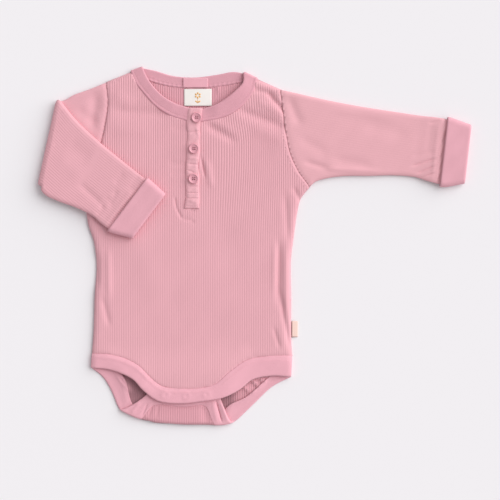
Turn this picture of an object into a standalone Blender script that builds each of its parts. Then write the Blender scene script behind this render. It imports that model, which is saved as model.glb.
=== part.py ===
"""A baby bodysuit with long sleeves, laid out flat on its back.

The wearer's left sleeve lies straight out and the right one is folded over the chest. The front and back are
rib knit; the neck, cuffs and leg openings are bound in plain knit. The crotch end of the back folds up and
snaps under the front. Sizes are in millimetres in the tables and become metres where a mesh is made.

Frame: +Z up, +Y towards the neck, +X towards the wearer's left arm. The origin is the middle of the body's
underside, on the surface that the garment lies on.
"""

import math
from collections import namedtuple

import bmesh
import bpy
import numpy as np
from mathutils import Vector
from mathutils.geometry import delaunay_2d_cdt

MM = 0.001

# ---------------------------------------------------------------- driving sizes, mm
KNIT = 1.1  # thickness of the rib knit
BAND = 2.0  # thickness of a doubled plain band
CUFF = 1.6  # thickness of a cuff's turned-back band
SEAM = 0.3  # gap between two pieces that are sewn together
LAY = 0.4  # gap between one layer and the next that lies on it

BACK_Z = KNIT / 2  # middle of the back's cloth
FRONT_Z = 4.6  # middle of the front's cloth over most of the body
SEAM_Z = BACK_Z + KNIT + SEAM  # middle of the front's cloth where it meets the back
ROLL = 7.0  # how far in from a side or shoulder seam the front takes to rise
NECK_Z = 4.9  # middle of the neck band on the front
SHOULDER_Z = 3.6  # the same, where the band folds over the shoulder
FLAP_Z = 3.9  # middle of the crotch flap, folded up inside
CROTCH_RISE = 3.1  # how much the front rises over the flap and its snaps

BUTTON_RADIUS = 5.6
BUTTON_THICK = 2.2
BUTTON_HOLE_RADIUS = 0.7
BUTTON_HOLE_SPREAD = 1.35  # from the middle to each of its four holes
SNAP_RADIUS = 4.5
SNAP_THICK = 1.2

GRID = 20.0  # spacing of a panel's points
FOLD_CLEAR = 4.0  # how far the back's plain points keep from its fold
FOLD_STEPS = 5  # rows of points round the crotch fold, the shoulder folds and the cuffs' ends
FOLD_ENDS = 0.25  # share of a soft fold's length over which it fades at each end
RISE_START = -108.0  # where the front starts to rise over the flap, and over what length
RISE_LENGTH = 40.0
RISE_MIDDLE = -10.0  # the middle of that rise across the body, and half its width
RISE_HALF = 62.0
SLOT_TOP = 134.0  # top of the slot that the button stand fills
NECK_DROP = 0.7  # share of the front neck band's length where it starts to drop to the shoulder
BOW_FADE = 45.0  # distance over which a sleeve's ends lose the armhole's bow
TOP_Y = 190.0  # highest row of a panel's inner points
EDGE_STEP = 8.0  # spacing along a panel's outline

# ---------------------------------------------------------------- tables, mm
# Where the body's sides lie, from armpit to hip: the wearer's right side is at -X.
Side = namedtuple("Side", "y right left")
BODY_SIDES = [
    Side(y=64.5, right=-126.0, left=127.6),
    Side(y=50.0, right=-121.5, left=116.8),
    Side(y=36.0, right=-118.0, left=113.3),
    Side(y=21.0, right=-115.5, left=111.0),
    Side(y=5.0, right=-110.0, left=108.9),
    Side(y=-11.0, right=-107.4, left=106.8),
    Side(y=-60.0, right=-108.9, left=106.7),
    Side(y=-105.0, right=-110.6, left=106.9),
    Side(y=-121.0, right=-112.0, left=107.8),
    Side(y=-134.5, right=-112.8, left=108.9),
]

# The armholes, from shoulder point to armpit.
Point = namedtuple("Point", "x y")
ARMHOLE_RIGHT = [
    Point(-95.7, 178.8),
    Point(-93.6, 158.0),
    Point(-96.5, 132.0),
    Point(-102.5, 108.0),
    Point(-111.5, 86.0),
    Point(-126.0, 64.5),
]
ARMHOLE_LEFT = [
    Point(95.7, 170.5),
    Point(98.5, 148.5),
    Point(101.2, 126.5),
    Point(105.6, 104.5),
    Point(113.3, 84.7),
    Point(127.6, 64.5),
]

# The neck band: the seam that joins it to the body, and its free edge round the opening.
Strip = namedtuple("Strip", "seam_x seam_y edge_x edge_y")
NECK_FRONT_RIGHT = [
    Strip(seam_x=-8.0, seam_y=135.9, edge_x=-7.4, edge_y=151.2),
    Strip(seam_x=-26.4, seam_y=141.9, edge_x=-19.5, edge_y=155.2),
    Strip(seam_x=-43.0, seam_y=152.8, edge_x=-33.0, edge_y=162.8),
    Strip(seam_x=-55.5, seam_y=166.6, edge_x=-44.0, edge_y=173.6),
    Strip(seam_x=-64.5, seam_y=178.0, edge_x=-51.2, edge_y=184.0),
    Strip(seam_x=-69.3, seam_y=189.3, edge_x=-55.8, edge_y=194.2),
]
NECK_FRONT_LEFT = [
    Strip(seam_x=9.9, seam_y=135.3, edge_x=10.4, edge_y=149.6),
    Strip(seam_x=27.0, seam_y=138.3, edge_x=23.6, edge_y=153.9),
    Strip(seam_x=42.0, seam_y=144.2, edge_x=35.5, edge_y=161.3),
    Strip(seam_x=56.0, seam_y=155.5, edge_x=45.5, edge_y=169.5),
    Strip(seam_x=65.5, seam_y=168.0, edge_x=53.6, edge_y=178.6),
    Strip(seam_x=69.6, seam_y=181.2, edge_x=54.2, edge_y=188.6),
]
NECK_BACK = [
    Strip(seam_x=-69.3, seam_y=189.3, edge_x=-55.8, edge_y=194.2),
    Strip(seam_x=-48.4, seam_y=179.6, edge_x=-43.0, edge_y=191.6),
    Strip(seam_x=-24.0, seam_y=173.6, edge_x=-23.0, edge_y=185.8),
    Strip(seam_x=1.0, seam_y=172.2, edge_x=1.0, edge_y=184.2),
    Strip(seam_x=26.0, seam_y=173.6, edge_x=25.0, edge_y=187.0),
    Strip(seam_x=48.4, seam_y=177.3, edge_x=43.0, edge_y=190.2),
    Strip(seam_x=69.6, seam_y=181.2, edge_x=54.2, edge_y=188.6),
]

# The front's leg band, hip to hip: the seam to the rib knit above, and the free edge below.
LEG_FRONT = [
    Strip(seam_x=-112.0, seam_y=-119.0, edge_x=-112.8, edge_y=-134.8),
    Strip(seam_x=-94.0, seam_y=-119.8, edge_x=-95.0, edge_y=-136.4),
    Strip(seam_x=-75.9, seam_y=-124.3, edge_x=-79.0, edge_y=-141.2),
    Strip(seam_x=-61.0, seam_y=-132.0, edge_x=-66.5, edge_y=-147.6),
    Strip(seam_x=-48.4, seam_y=-144.1, edge_x=-55.5, edge_y=-159.4),
    Strip(seam_x=-35.5, seam_y=-154.3, edge_x=-40.7, edge_y=-170.4),
    Strip(seam_x=-15.4, seam_y=-157.3, edge_x=-17.0, edge_y=-173.9),
    Strip(seam_x=6.0, seam_y=-157.0, edge_x=8.0, edge_y=-171.6),
    Strip(seam_x=23.1, seam_y=-152.4, edge_x=31.0, edge_y=-167.8),
    Strip(seam_x=40.0, seam_y=-138.0, edge_x=50.0, edge_y=-159.0),
    Strip(seam_x=57.0, seam_y=-126.6, edge_x=64.0, edge_y=-148.2),
    Strip(seam_x=80.0, seam_y=-121.8, edge_x=84.0, edge_y=-143.9),
    Strip(seam_x=107.8, seam_y=-121.0, edge_x=106.5, edge_y=-145.0),
]

# The back's leg band. A station "under" lies on the back's own layer, and "flap" on the folded-up crotch end.
Leg = namedtuple("Leg", "layer edge_x edge_y seam_x seam_y")
LEG_BACK = [
    Leg("under", edge_x=-112.8, edge_y=-134.8, seam_x=-112.0, seam_y=-119.0),
    Leg("under", edge_x=-99.5, edge_y=-146.0, seam_x=-88.0, seam_y=-130.5),
    Leg("under", edge_x=-91.0, edge_y=-160.0, seam_x=-75.0, seam_y=-149.0),
    Leg("under", edge_x=-83.8, edge_y=-177.0, seam_x=-69.5, seam_y=-170.0),
    Leg("flap", edge_x=-76.5, edge_y=-179.4, seam_x=-54.0, seam_y=-187.4),
    Leg("flap", edge_x=-57.0, edge_y=-168.2, seam_x=-44.5, seam_y=-176.6),
    Leg("flap", edge_x=-44.0, edge_y=-157.6, seam_x=-37.0, seam_y=-175.4),
    Leg("flap", edge_x=-10.0, edge_y=-155.6, seam_x=-11.0, seam_y=-178.2),
    Leg("flap", edge_x=24.0, edge_y=-157.6, seam_x=9.0, seam_y=-176.4),
    Leg("flap", edge_x=31.8, edge_y=-175.0, seam_x=14.5, seam_y=-180.0),
    Leg("flap", edge_x=39.0, edge_y=-191.5, seam_x=19.0, seam_y=-191.5),
    Leg("under", edge_x=49.0, edge_y=-188.4, seam_x=35.0, seam_y=-178.0),
    Leg("under", edge_x=67.0, edge_y=-170.5, seam_x=57.0, seam_y=-166.5),
    Leg("under", edge_x=84.0, edge_y=-157.2, seam_x=77.0, seam_y=-149.5),
    Leg("under", edge_x=106.5, edge_y=-145.0, seam_x=107.8, seam_y=-121.0),
]

# The crotch fold: the lowest line of the garment.
CROTCH_FOLD = [
    Point(-84.0, -180.2),
    Point(-65.0, -187.6),
    Point(-43.0, -194.7),
    Point(-18.0, -197.6),
    Point(10.0, -197.9),
    Point(34.0, -197.6),
    Point(48.0, -194.0),
]

# A sleeve's sections. The over edge runs down from the shoulder, the under edge from the armpit. turn is 0 on
# the way out and 180 once the sleeve is folded back over itself; low and high are the middles of its two walls.
Section = namedtuple("Section", "over_x over_y under_x under_y turn low high")
SLEEVE_LEFT = [
    Section(95.7, 170.5, 127.6, 64.5, turn=0, low=0.55, high=4.6),
    Section(110.0, 167.3, 133.6, 69.6, turn=0, low=0.55, high=4.6),
    Section(132.0, 162.2, 142.0, 72.4, turn=0, low=0.55, high=4.5),
    Section(160.6, 156.2, 161.5, 75.4, turn=0, low=0.55, high=4.4),
    Section(193.6, 150.4, 192.0, 75.9, turn=0, low=0.55, high=4.3),
    Section(226.6, 145.4, 220.0, 76.4, turn=0, low=0.55, high=4.3),
    Section(250.0, 141.9, 243.0, 74.4, turn=0, low=0.9, high=4.5),
    Section(268.0, 139.9, 259.0, 69.4, turn=0, low=2.7, high=5.8),
    Section(281.0, 137.4, 273.0, 66.2, turn=0, low=3.5, high=6.3),
    Section(301.6, 130.4, 294.6, 69.2, turn=0, low=3.5, high=6.1),
]
SLEEVE_RIGHT = [
    Section(-95.7, 178.8, -126.0, 64.5, turn=0, low=0.55, high=4.6),
    Section(-114.4, 171.1, -138.6, 63.8, turn=0, low=0.55, high=4.4),
    Section(-131.0, 165.2, -153.0, 65.0, turn=0, low=0.55, high=4.2),
    Section(-146.3, 158.2, -165.8, 70.0, turn=0, low=0.55, high=4.1),
    Section(-146.3, 158.2, -165.8, 70.0, turn=180, low=5.7, high=9.3),
    Section(-133.0, 141.6, -151.0, 52.0, turn=180, low=6.3, high=9.9),
    Section(-106.7, 115.8, -129.8, 42.9, turn=180, low=6.4, high=10.2),
    Section(-81.4, 94.8, -111.1, 33.0, turn=180, low=6.6, high=10.2),
    Section(-63.5, 80.4, -100.0, 22.6, turn=180, low=7.9, high=11.0),
    Section(-50.6, 70.4, -91.6, 16.6, turn=180, low=8.7, high=11.5),
    Section(-34.0, 55.9, -68.8, 9.7, turn=180, low=8.7, high=11.3),
]
# The largest soft folds of the front: each runs from one end to the other and is that wide and that deep.
Fold = namedtuple("Fold", "x0 y0 x1 y1 width depth")
FRONT_FOLDS = [
    Fold(12.0, 133.0, 45.0, 115.0, width=6.0, depth=0.8),
    Fold(66.0, 170.0, 97.0, 151.0, width=6.0, depth=1.2),
    Fold(47.0, 151.0, 100.0, 127.0, width=9.0, depth=0.9),
    Fold(93.0, -10.0, 97.0, -95.0, width=5.0, depth=1.0),
    Fold(-98.0, -14.0, -97.0, -85.0, width=5.0, depth=0.9),
    Fold(-90.0, 142.0, -35.0, 138.0, width=9.0, depth=0.8),
]
CUFF_REACH = 25.0  # length of the band turned back over the sleeve
CUFF_END = 1.4  # how far a cuff's end fold stands past the end of its sleeve
CUFF_FLARE = 0.3  # how much further its free edge stands off the sleeve
SLEEVE_STEPS = 22  # sections along a sleeve

# The button stand, from the neck edge down: the middle line and the width of the upper strip.
Stand = namedtuple("Stand", "y x width")
PLACKET = [
    Stand(y=150.2, x=1.4, width=16.6),
    Stand(y=132.0, x=0.0, width=14.8),
    Stand(y=105.0, x=-1.2, width=14.2),
    Stand(y=70.0, x=-1.6, width=14.8),
    Stand(y=40.0, x=-2.2, width=16.2),
]
PLACKET_THICK = 1.8
PLACKET_Z = FRONT_Z + KNIT / 2 + LAY + PLACKET_THICK / 2

Centre = namedtuple("Centre", "x y")
BUTTONS = [Centre(3.0, 139.7), Centre(0.0, 105.6), Centre(-0.4, 72.6)]
SNAPS = [Centre(-31.0, -164.6), Centre(-8.0, -165.4), Centre(14.0, -164.0)]

# The woven label hangs from the back neck seam; a patch of neck tape covers its top.
Patch = namedtuple("Patch", "left right bottom top z thick")
NECK_TAPE = Patch(left=-12.1, right=15.6, bottom=173.0, top=183.4, z=BAND + LAY + 0.5, thick=1.0)
LABEL = Patch(left=-11.0, right=19.6, bottom=152.6, top=171.6, z=KNIT + LAY + 0.5, thick=1.0)
SIDE_TAG = Patch(left=107.15, right=114.0, bottom=-101.5, top=-84.0, z=0.9, thick=1.6)


# ---------------------------------------------------------------- curves
def smooth_path(points, count):
    """count points, evenly spaced, on a smooth curve through the given ones."""
    knots = np.array([tuple(p) for p in points], float)
    chord = np.linalg.norm(np.diff(knots, axis=0), axis=1)
    at = np.concatenate([[0.0], np.cumsum(chord)])
    slope = np.gradient(knots, at, axis=0)
    fine = np.linspace(0.0, at[-1], 24 * len(knots))
    line = hermite(at, knots, slope, fine)
    run = np.concatenate([[0.0], np.cumsum(np.linalg.norm(np.diff(line, axis=0), axis=1))])
    even = np.linspace(0.0, run[-1], count)
    return np.stack([np.interp(even, run, line[:, k]) for k in range(knots.shape[1])], axis=1)


def hermite(at, knots, slope, where):
    """Cubic Hermite curve with the given knots and slopes, read at each value in where."""
    i = np.clip(np.searchsorted(at, where, side="right") - 1, 0, len(at) - 2)
    span = at[i + 1] - at[i]
    t = ((where - at[i]) / span)[:, None]
    span = span[:, None]
    return (
        knots[i] * (2 * t**3 - 3 * t**2 + 1)
        + slope[i] * span * (t**3 - 2 * t**2 + t)
        + knots[i + 1] * (3 * t**2 - 2 * t**3)
        + slope[i + 1] * span * (t**3 - t**2)
    )


def read_table(rows, column, where, key="y"):
    """A table's column as a smooth function of its key column."""
    at = np.array([getattr(r, key) for r in rows], float)
    values = np.array([[getattr(r, column)] for r in rows], float)
    order = np.argsort(at)
    at, values = at[order], values[order]
    where = np.clip(np.asarray(where, float), at[0], at[-1])
    return hermite(at, values, np.gradient(values, at, axis=0), np.atleast_1d(where))[:, 0]


def ease(x):
    """0 below 0, 1 above 1, and smooth in between."""
    x = np.clip(x, 0.0, 1.0)
    return x * x * (3.0 - 2.0 * x)


def quarter_round(x):
    """Rises from 0 to 1 as a quarter of a circle does."""
    x = np.clip(x, 0.0, 1.0)
    return np.sqrt(1.0 - (1.0 - x) ** 2)


def seams(rows):
    """The seam points of a band's table."""
    return [Point(r.seam_x, r.seam_y) for r in rows]


def edges(rows):
    """The free-edge points of a band's table."""
    return [Point(r.edge_x, r.edge_y) for r in rows]


# ---------------------------------------------------------------- heights
def shoulder_height(x):
    """The shoulder seams' y at x, on the side of the body where x is."""
    right = (NECK_FRONT_RIGHT[-1].seam_x, NECK_FRONT_RIGHT[-1].seam_y, *ARMHOLE_RIGHT[0])
    left = (NECK_FRONT_LEFT[-1].seam_x, NECK_FRONT_LEFT[-1].seam_y, *ARMHOLE_LEFT[0])
    y = np.empty_like(x)
    for (x0, y0, x1, y1), here in ((right, x < 0), (left, x >= 0)):
        y[here] = y0 + (x[here] - x0) * (y1 - y0) / (x1 - x0)
    return y


def front_height(x, y):
    """Middle of the front's cloth: low at the side and shoulder seams, high over the crotch flap."""
    x, y = np.atleast_1d(np.asarray(x, float)), np.atleast_1d(np.asarray(y, float))
    from_side = np.minimum(
        x - read_table(BODY_SIDES, "right", y), read_table(BODY_SIDES, "left", y) - x
    )
    from_side = np.where(y > BODY_SIDES[0].y, ROLL, from_side)
    from_shoulder = np.where(np.abs(x) > NECK_FRONT_LEFT[-1].edge_x, shoulder_height(x) - y, ROLL)
    inside = np.minimum(from_side, from_shoulder) / ROLL
    height = SEAM_Z + (FRONT_Z - SEAM_Z) * quarter_round(inside)
    across = np.exp(-(((x - RISE_MIDDLE) / RISE_HALF) ** 6))
    height = height + CROTCH_RISE * across * ease((RISE_START - y) / RISE_LENGTH)
    return np.maximum(height - fold_depth(x, y), SEAM_Z)


def fold_depth(x, y):
    """How far the front's soft folds sink at a point."""
    depth = np.zeros_like(x)
    for f in FRONT_FOLDS:
        step = np.array([f.x1 - f.x0, f.y1 - f.y0])
        share = ((x - f.x0) * step[0] + (y - f.y0) * step[1]) / (step @ step)
        away = np.hypot(x - f.x0 - share * step[0], y - f.y0 - share * step[1])
        ends = ease(share / FOLD_ENDS) * ease((1.0 - share) / FOLD_ENDS)
        depth = np.maximum(depth, f.depth * np.exp(-((away / f.width) ** 2)) * ends)
    return depth


def fold_line(x):
    """The crotch fold's y at x."""
    return read_table(CROTCH_FOLD, "y", x, key="x")


def back_place(x, length, thick):
    """Where a point of the back lies once its crotch end is folded up. length is its y in the flat cut."""
    bottom = thick / 2
    radius = (FLAP_Z - bottom) / 2
    hinge = fold_line(x) + radius + bottom
    past = hinge - length
    angle = np.clip(past / radius, 0.0, math.pi)
    y = np.where(past > 0, hinge - radius * np.sin(angle), length)
    y = y + np.maximum(past - math.pi * radius, 0.0)
    z = bottom + radius * (1.0 - np.cos(angle))
    return np.stack([x, y, z], axis=-1)


def recut(x, length, thick, other):
    """A place in the cut of one cloth, moved to lie over the same spot in that of another thickness."""
    places = []
    for t in (thick, other):
        radius = (FLAP_Z - t / 2) / 2
        places.append((radius, fold_line(x) + radius + t / 2))
    (radius, hinge), (radius2, hinge2) = places
    past = hinge - length
    turned = hinge2 - np.minimum(past / radius, math.pi) * radius2
    on_flap = turned - np.maximum(past - math.pi * radius, 0.0) - (hinge - hinge2)
    return np.where(past <= 0, length, np.where(past < math.pi * radius, turned, on_flap))


def cut_length(x, y, thick):
    """The y in the flat cut of a point that lies at (x, y) on the folded-up flap."""
    radius = (FLAP_Z - thick / 2) / 2
    hinge = fold_line(x) + radius + thick / 2
    return hinge - math.pi * radius - (y - hinge)


# ---------------------------------------------------------------- meshes
def material(name, colour, roughness):
    """A plain cloth or plastic finish."""
    made = bpy.data.materials.new(name)
    made.use_nodes = True
    shader = made.node_tree.nodes["Principled BSDF"]
    shader.inputs["Base Color"].default_value = (*colour, 1.0)
    shader.inputs["Roughness"].default_value = roughness
    shader.inputs["Metallic"].default_value = 0.0
    return made


def add_object(name, vertices, faces, finish):
    """A mesh object from points in millimetres."""
    mesh = bpy.data.meshes.new(name)
    mesh.from_pydata([Vector(v) * MM for v in vertices], [], [list(map(int, f)) for f in faces])
    mesh.validate()
    mesh.materials.append(finish)
    piece = bpy.data.objects.new(name, mesh)
    bpy.context.scene.collection.objects.link(piece)
    return piece


def add_wall(name, middle, faces, thick, finish):
    """A wall of cloth, half of its thickness on each side of the middle surface."""
    piece = add_object(name, middle, faces, finish)
    solid = piece.modifiers.new("thickness", "SOLIDIFY")
    solid.thickness = thick * MM
    solid.offset = 0.0
    piece.data.shade_smooth()
    return piece


def grid_faces(rows, columns, closed=False):
    """Quads of a grid whose rows may close on themselves."""
    around = columns if closed else columns - 1
    return [
        (
            i * columns + j,
            i * columns + (j + 1) % columns,
            (i + 1) * columns + (j + 1) % columns,
            (i + 1) * columns + j,
        )
        for i in range(rows - 1)
        for j in range(around)
    ]


def filled(outline, inner):
    """Triangles that fill an outline, using the inner points that lie well inside it."""
    outline = np.array(outline)
    count = len(outline)
    keep = [p for p in inner if inside(outline, p) and clear_of(outline, p, 0.45 * EDGE_STEP)]
    points = [Vector(p) for p in outline] + [Vector(p) for p in keep]
    made = delaunay_2d_cdt(points, [], [list(range(count))], 1, 1e-5)
    return np.array([tuple(v) for v in made[0]]), made[2]


def inside(outline, point):
    """Whether the point is inside the closed outline, by crossings to its right."""
    (x, y), (x0, y0) = point, outline.T
    x1, y1 = np.roll(outline, -1, axis=0).T
    with np.errstate(divide="ignore", invalid="ignore"):
        crossing = x0 + (y - y0) * (x1 - x0) / (y1 - y0)
    return bool((((y0 > y) != (y1 > y)) & (x < crossing)).sum() % 2)


def clear_of(outline, point, least):
    """Whether the point keeps at least that far from every side of the outline."""
    start, step = outline, np.roll(outline, -1, axis=0) - outline
    share = np.clip(((point - start) * step).sum(1) / (step**2).sum(1), 0.0, 1.0)
    return bool(np.linalg.norm(start + share[:, None] * step - point, axis=1).min() >= least)


def panel_points(low, high, lowest_edge):
    """Points for the inside of a panel: rows across the body, closer together near its sides."""
    near = np.array([0.22 * ROLL, 0.55 * ROLL, ROLL])
    points = []
    for y in np.arange(low, high, GRID):
        if y < lowest_edge:
            left, right = LEG_BACK[0].edge_x, LEG_BACK[-1].edge_x
        else:
            left = read_table(BODY_SIDES, "right", y)[0]
            right = read_table(BODY_SIDES, "left", y)[0]
        middle = np.linspace(left + near[-1], right - near[-1], round((right - left) / GRID))
        points += [(x, y) for x in (*(left + near[:-1]), *middle, *(right - near[:-1]))]
    return points


def shrink(path, towards, gap):
    """A path moved sideways by gap, to the side where towards lies."""
    along = np.gradient(path, axis=0)
    normal = np.stack([-along[:, 1], along[:, 0]], axis=1)
    normal /= np.linalg.norm(normal, axis=1, keepdims=True)
    side = np.sign(((np.asarray(towards) - path) * normal).sum(1).mean())
    return path + normal * side * gap


def steps_along(points, spacing):
    """How many points a path of that length takes."""
    knots = np.array([tuple(p) for p in points], float)
    return max(4, round(np.linalg.norm(np.diff(knots, axis=0), axis=1).sum() / spacing) + 1)


def path_of(points, spacing=EDGE_STEP):
    return smooth_path(points, steps_along(points, spacing))


# ---------------------------------------------------------------- the body's two panels
def side_path(column, bottom):
    """A side seam from armpit to the top of the leg band."""
    rows = [r for r in BODY_SIDES if r.y > bottom + 1.0]
    points = [Point(getattr(r, column), r.y - SEAM) for r in rows]
    points.append(Point(read_table(BODY_SIDES, column, bottom)[0], bottom))
    return shrink(path_of(points), (0.0, 0.0), SEAM)


def joined(*paths):
    """One closed outline from paths laid end to end, without the doubled corners."""
    points = [paths[0][0]]
    for path in paths:
        for p in path:
            if np.linalg.norm(np.asarray(p) - points[-1]) > 0.5:
                points.append(np.asarray(p))
    if np.linalg.norm(points[0] - points[-1]) < 0.5:
        points.pop()
    return np.array(points)


def leg_seam(thick):
    """The seam between the back and its leg band, in the flat cut of a cloth of that thickness."""
    _, seam = band_paths()
    return np.column_stack([seam[:, 0], recut(seam[:, 0], seam[:, 1], BAND, thick)])


def front_panel(knit):
    """The front: neck to leg band, armhole to armhole, with the slot that the button stand fills."""
    middle = (0.0, 0.0)
    slot_right = [Point(r.x - r.width / 2 - SEAM, r.y - SEAM) for r in PLACKET[1:]]
    slot_left = [Point(r.x + r.width / 2 + SEAM, r.y - SEAM) for r in PLACKET[1:]]
    neck_right = shrink(path_of(seams(NECK_FRONT_RIGHT)), middle, SEAM)
    neck_left = shrink(path_of(seams(NECK_FRONT_LEFT)), middle, SEAM)
    leg = shrink(path_of(seams(LEG_FRONT)), middle, SEAM)
    outline = joined(
        neck_right[::-1],
        path_of([Point(slot_right[0].x, SLOT_TOP), *slot_right[1:]]),
        path_of([Point(slot_left[0].x, SLOT_TOP), *slot_left[1:]])[::-1],
        neck_left,
        shrink(armhole_path(SLEEVE_LEFT, ARMHOLE_LEFT), middle, SEAM),
        side_path("left", LEG_FRONT[-1].seam_y + SEAM),
        leg[::-1],
        side_path("right", LEG_FRONT[0].seam_y + SEAM)[::-1],
        shrink(armhole_path(SLEEVE_RIGHT, ARMHOLE_RIGHT), middle, SEAM)[::-1],
    )
    flat, faces = filled(outline[::-1], panel_points(-160.0, TOP_Y, -400.0))
    height = front_height(flat[:, 0], flat[:, 1])
    return add_wall("front_panel", np.column_stack([flat, height]), faces, KNIT, knit)


def band_paths():
    """The back leg band's two edges in the flat cut: (free edge, seam), with more stations round the fold."""
    rows = []
    for r in LEG_BACK:
        edge_y, seam_y = r.edge_y, r.seam_y
        if r.layer == "flap":
            edge_y = cut_length(np.array([r.edge_x]), r.edge_y, BAND)[0]
            seam_y = cut_length(np.array([r.seam_x]), r.seam_y, BAND)[0]
        rows.append((r.edge_x, edge_y, r.seam_x, seam_y))
    fine = smooth_path(rows, 600)
    radius = (FLAP_Z - BAND / 2) / 2
    weight = np.linalg.norm(np.diff(fine, axis=0), axis=1) / (1.5 * EDGE_STEP)
    for x, y in ((fine[:, 0], fine[:, 1]), (fine[:, 2], fine[:, 3])):
        turn = np.clip((fold_line(x) + radius + BAND / 2 - y) / radius, 0.0, math.pi)
        weight += np.abs(np.diff(turn)) / (math.pi / FOLD_STEPS)
    run = np.concatenate([[0.0], np.cumsum(weight)])
    even = np.linspace(0.0, run[-1], round(run[-1]) + 1)
    pairs = np.stack([np.interp(even, run, fine[:, k]) for k in range(4)], axis=1)
    return pairs[:, :2], pairs[:, 2:]


def back_panel(knit):
    """The back: flat on the surface, with its crotch end folded up over itself."""
    middle = (0.0, 0.0)
    leg = shrink(leg_seam(KNIT), middle, 1.5 * SEAM)
    outline = joined(
        shrink(path_of(seams(NECK_BACK)), middle, SEAM),
        shrink(armhole_path(SLEEVE_LEFT, ARMHOLE_LEFT), middle, SEAM),
        side_path("left", LEG_BACK[-1].seam_y + SEAM),
        leg[::-1],
        side_path("right", LEG_BACK[0].seam_y + SEAM)[::-1],
        shrink(armhole_path(SLEEVE_RIGHT, ARMHOLE_RIGHT), middle, SEAM)[::-1],
    )
    radius = (FLAP_Z - KNIT / 2) / 2
    bend = []
    for x in np.arange(-60.0, 40.0, GRID / 2):
        hinge = fold_line(np.array([x]))[0] + radius + KNIT / 2
        bend += [(x, hinge - radius * math.pi * k / FOLD_STEPS) for k in range(FOLD_STEPS + 1)]
    inner = [p for p in panel_points(-250.0, TOP_Y, -121.0) if far_from_fold(p, radius)]
    flat, faces = filled(outline[::-1], inner + bend)
    placed = back_place(flat[:, 0], flat[:, 1], KNIT)
    return add_wall("back_panel", placed, faces, KNIT, knit)


def far_from_fold(point, radius):
    """Whether a point of the back's cut stays clear of the rows that make its fold."""
    hinge = fold_line(np.array([point[0]]))[0] + radius + KNIT / 2
    return not -math.pi * radius - FOLD_CLEAR < point[1] - hinge < FOLD_CLEAR


# ---------------------------------------------------------------- bands
def band_shape(seam, edge, columns):
    """A flat strip between two paths of equal length: its (x, y) by row and column."""
    share = np.linspace(0.0, 1.0, columns)[None, :, None]
    return seam[:, None, :] * (1 - share) + edge[:, None, :] * share


def leg_band_front(plain):
    """The plain band along the front's lower edge, hip to hip."""
    count = steps_along(edges(LEG_FRONT), EDGE_STEP)
    flat = band_shape(smooth_path(seams(LEG_FRONT), count), smooth_path(edges(LEG_FRONT), count), 4)
    x, y = flat[..., 0].ravel(), flat[..., 1].ravel()
    lowest = BAND * 1.5 + SEAM
    height = np.maximum(front_height(x, y) + (BAND - KNIT) / 2, lowest)
    middle = np.column_stack([x, y, height])
    return add_wall("leg_band_front", middle, grid_faces(count, 4)[::-1], BAND, plain)


def leg_band_back(plain):
    """The plain band along the back's lower edge, which folds up with the crotch end."""
    edge, seam = band_paths()
    flat = band_shape(seam, edge, 5)
    placed = back_place(flat[..., 0].ravel(), flat[..., 1].ravel(), BAND)
    return add_wall("leg_band_back", placed, grid_faces(len(edge), 5), BAND, plain)


def neck_band(plain):
    """One band all round the neck, open at the button stand and folded over at each shoulder."""
    back_z = BAND / 2
    radius = (SHOULDER_Z - back_z) / 2
    rows = []
    right = neck_rows(NECK_FRONT_RIGHT)
    rows += [(*r, z) for r, z in zip(right, neck_slope(right))]
    rows += shoulder_turn(right[-1], radius, back_z, going_down=True)
    rows += [(*r, back_z) for r in neck_rows(NECK_BACK)[1:-1]]
    left = neck_rows(NECK_FRONT_LEFT)
    rows += shoulder_turn(left[-1], radius, back_z, going_down=False)
    rows += [(*r, z) for r, z in zip(left[::-1], neck_slope(left)[::-1])]
    rows = np.array(rows)
    share = np.linspace(0.0, 1.0, 4)[None, :, None]
    flat = rows[:, None, 0:2] * (1 - share) + rows[:, None, 2:4] * share
    height = np.repeat(rows[:, 4], 4)
    middle = np.column_stack([flat.reshape(-1, 2), height])
    return add_wall("neck_band", middle, grid_faces(len(rows), 4), BAND, plain)


def neck_rows(table):
    return smooth_path([tuple(r) for r in table], steps_along(seams(table), EDGE_STEP))


def neck_slope(rows):
    """The front neck band's height: level, then down to the shoulder fold over its last stretch."""
    share = np.linspace(0.0, 1.0, len(rows))
    return NECK_Z + (SHOULDER_Z - NECK_Z) * ease((share - NECK_DROP) / (1.0 - NECK_DROP))


def shoulder_turn(row, radius, low, going_down):
    """The rows that carry the band round its shoulder fold, between the front and the back layer."""
    seam, edge = np.array(row[:2]), np.array(row[2:4])
    along = edge - seam
    out = np.array([-along[1], along[0]]) / np.linalg.norm(along)
    out *= np.sign(out[1])
    turns = [math.pi * k / FOLD_STEPS for k in range(1, FOLD_STEPS + 1)]
    made = []
    for angle in turns:
        push = out * radius * math.sin(angle)
        made.append((*(seam + push), *(edge + push), low + radius * (1 + math.cos(angle))))
    return made if going_down else made[::-1]


# ---------------------------------------------------------------- sleeves and cuffs
RING_TOP, RING_ARC, RING_FLAT = 5.0, 3, 5  # reach of the edge's rounding, and points in its arcs and flats


def flat_ring(width, low, high, grow=0.0):
    """The middle line of a flattened tube in section, as (across, height): over the top, then back below."""
    centre = low + 0.38 * (high - low)
    reach = min(RING_TOP, 0.2 * width)
    left, right = KNIT / 2 - grow, width - KNIT / 2 + grow
    angles = np.linspace(0.0, math.pi / 2, RING_ARC + 1)
    up = [(left + reach * (1 - math.cos(a)), centre + (high + grow - centre) * math.sin(a)) for a in angles]
    down = [(right + left - w, h) for w, h in up[::-1]]
    drop = low - grow - centre
    under = [(right - reach * (1 - math.cos(a)), centre + drop * math.sin(a)) for a in angles]
    back = [(right + left - w, h) for w, h in under[::-1]]
    ring = up[:-1] + between(up[-1], down[0]) + down[1:-1] + under[:-1]
    ring += between(under[-1], back[0]) + back[1:-1]
    return np.array(ring)


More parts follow.
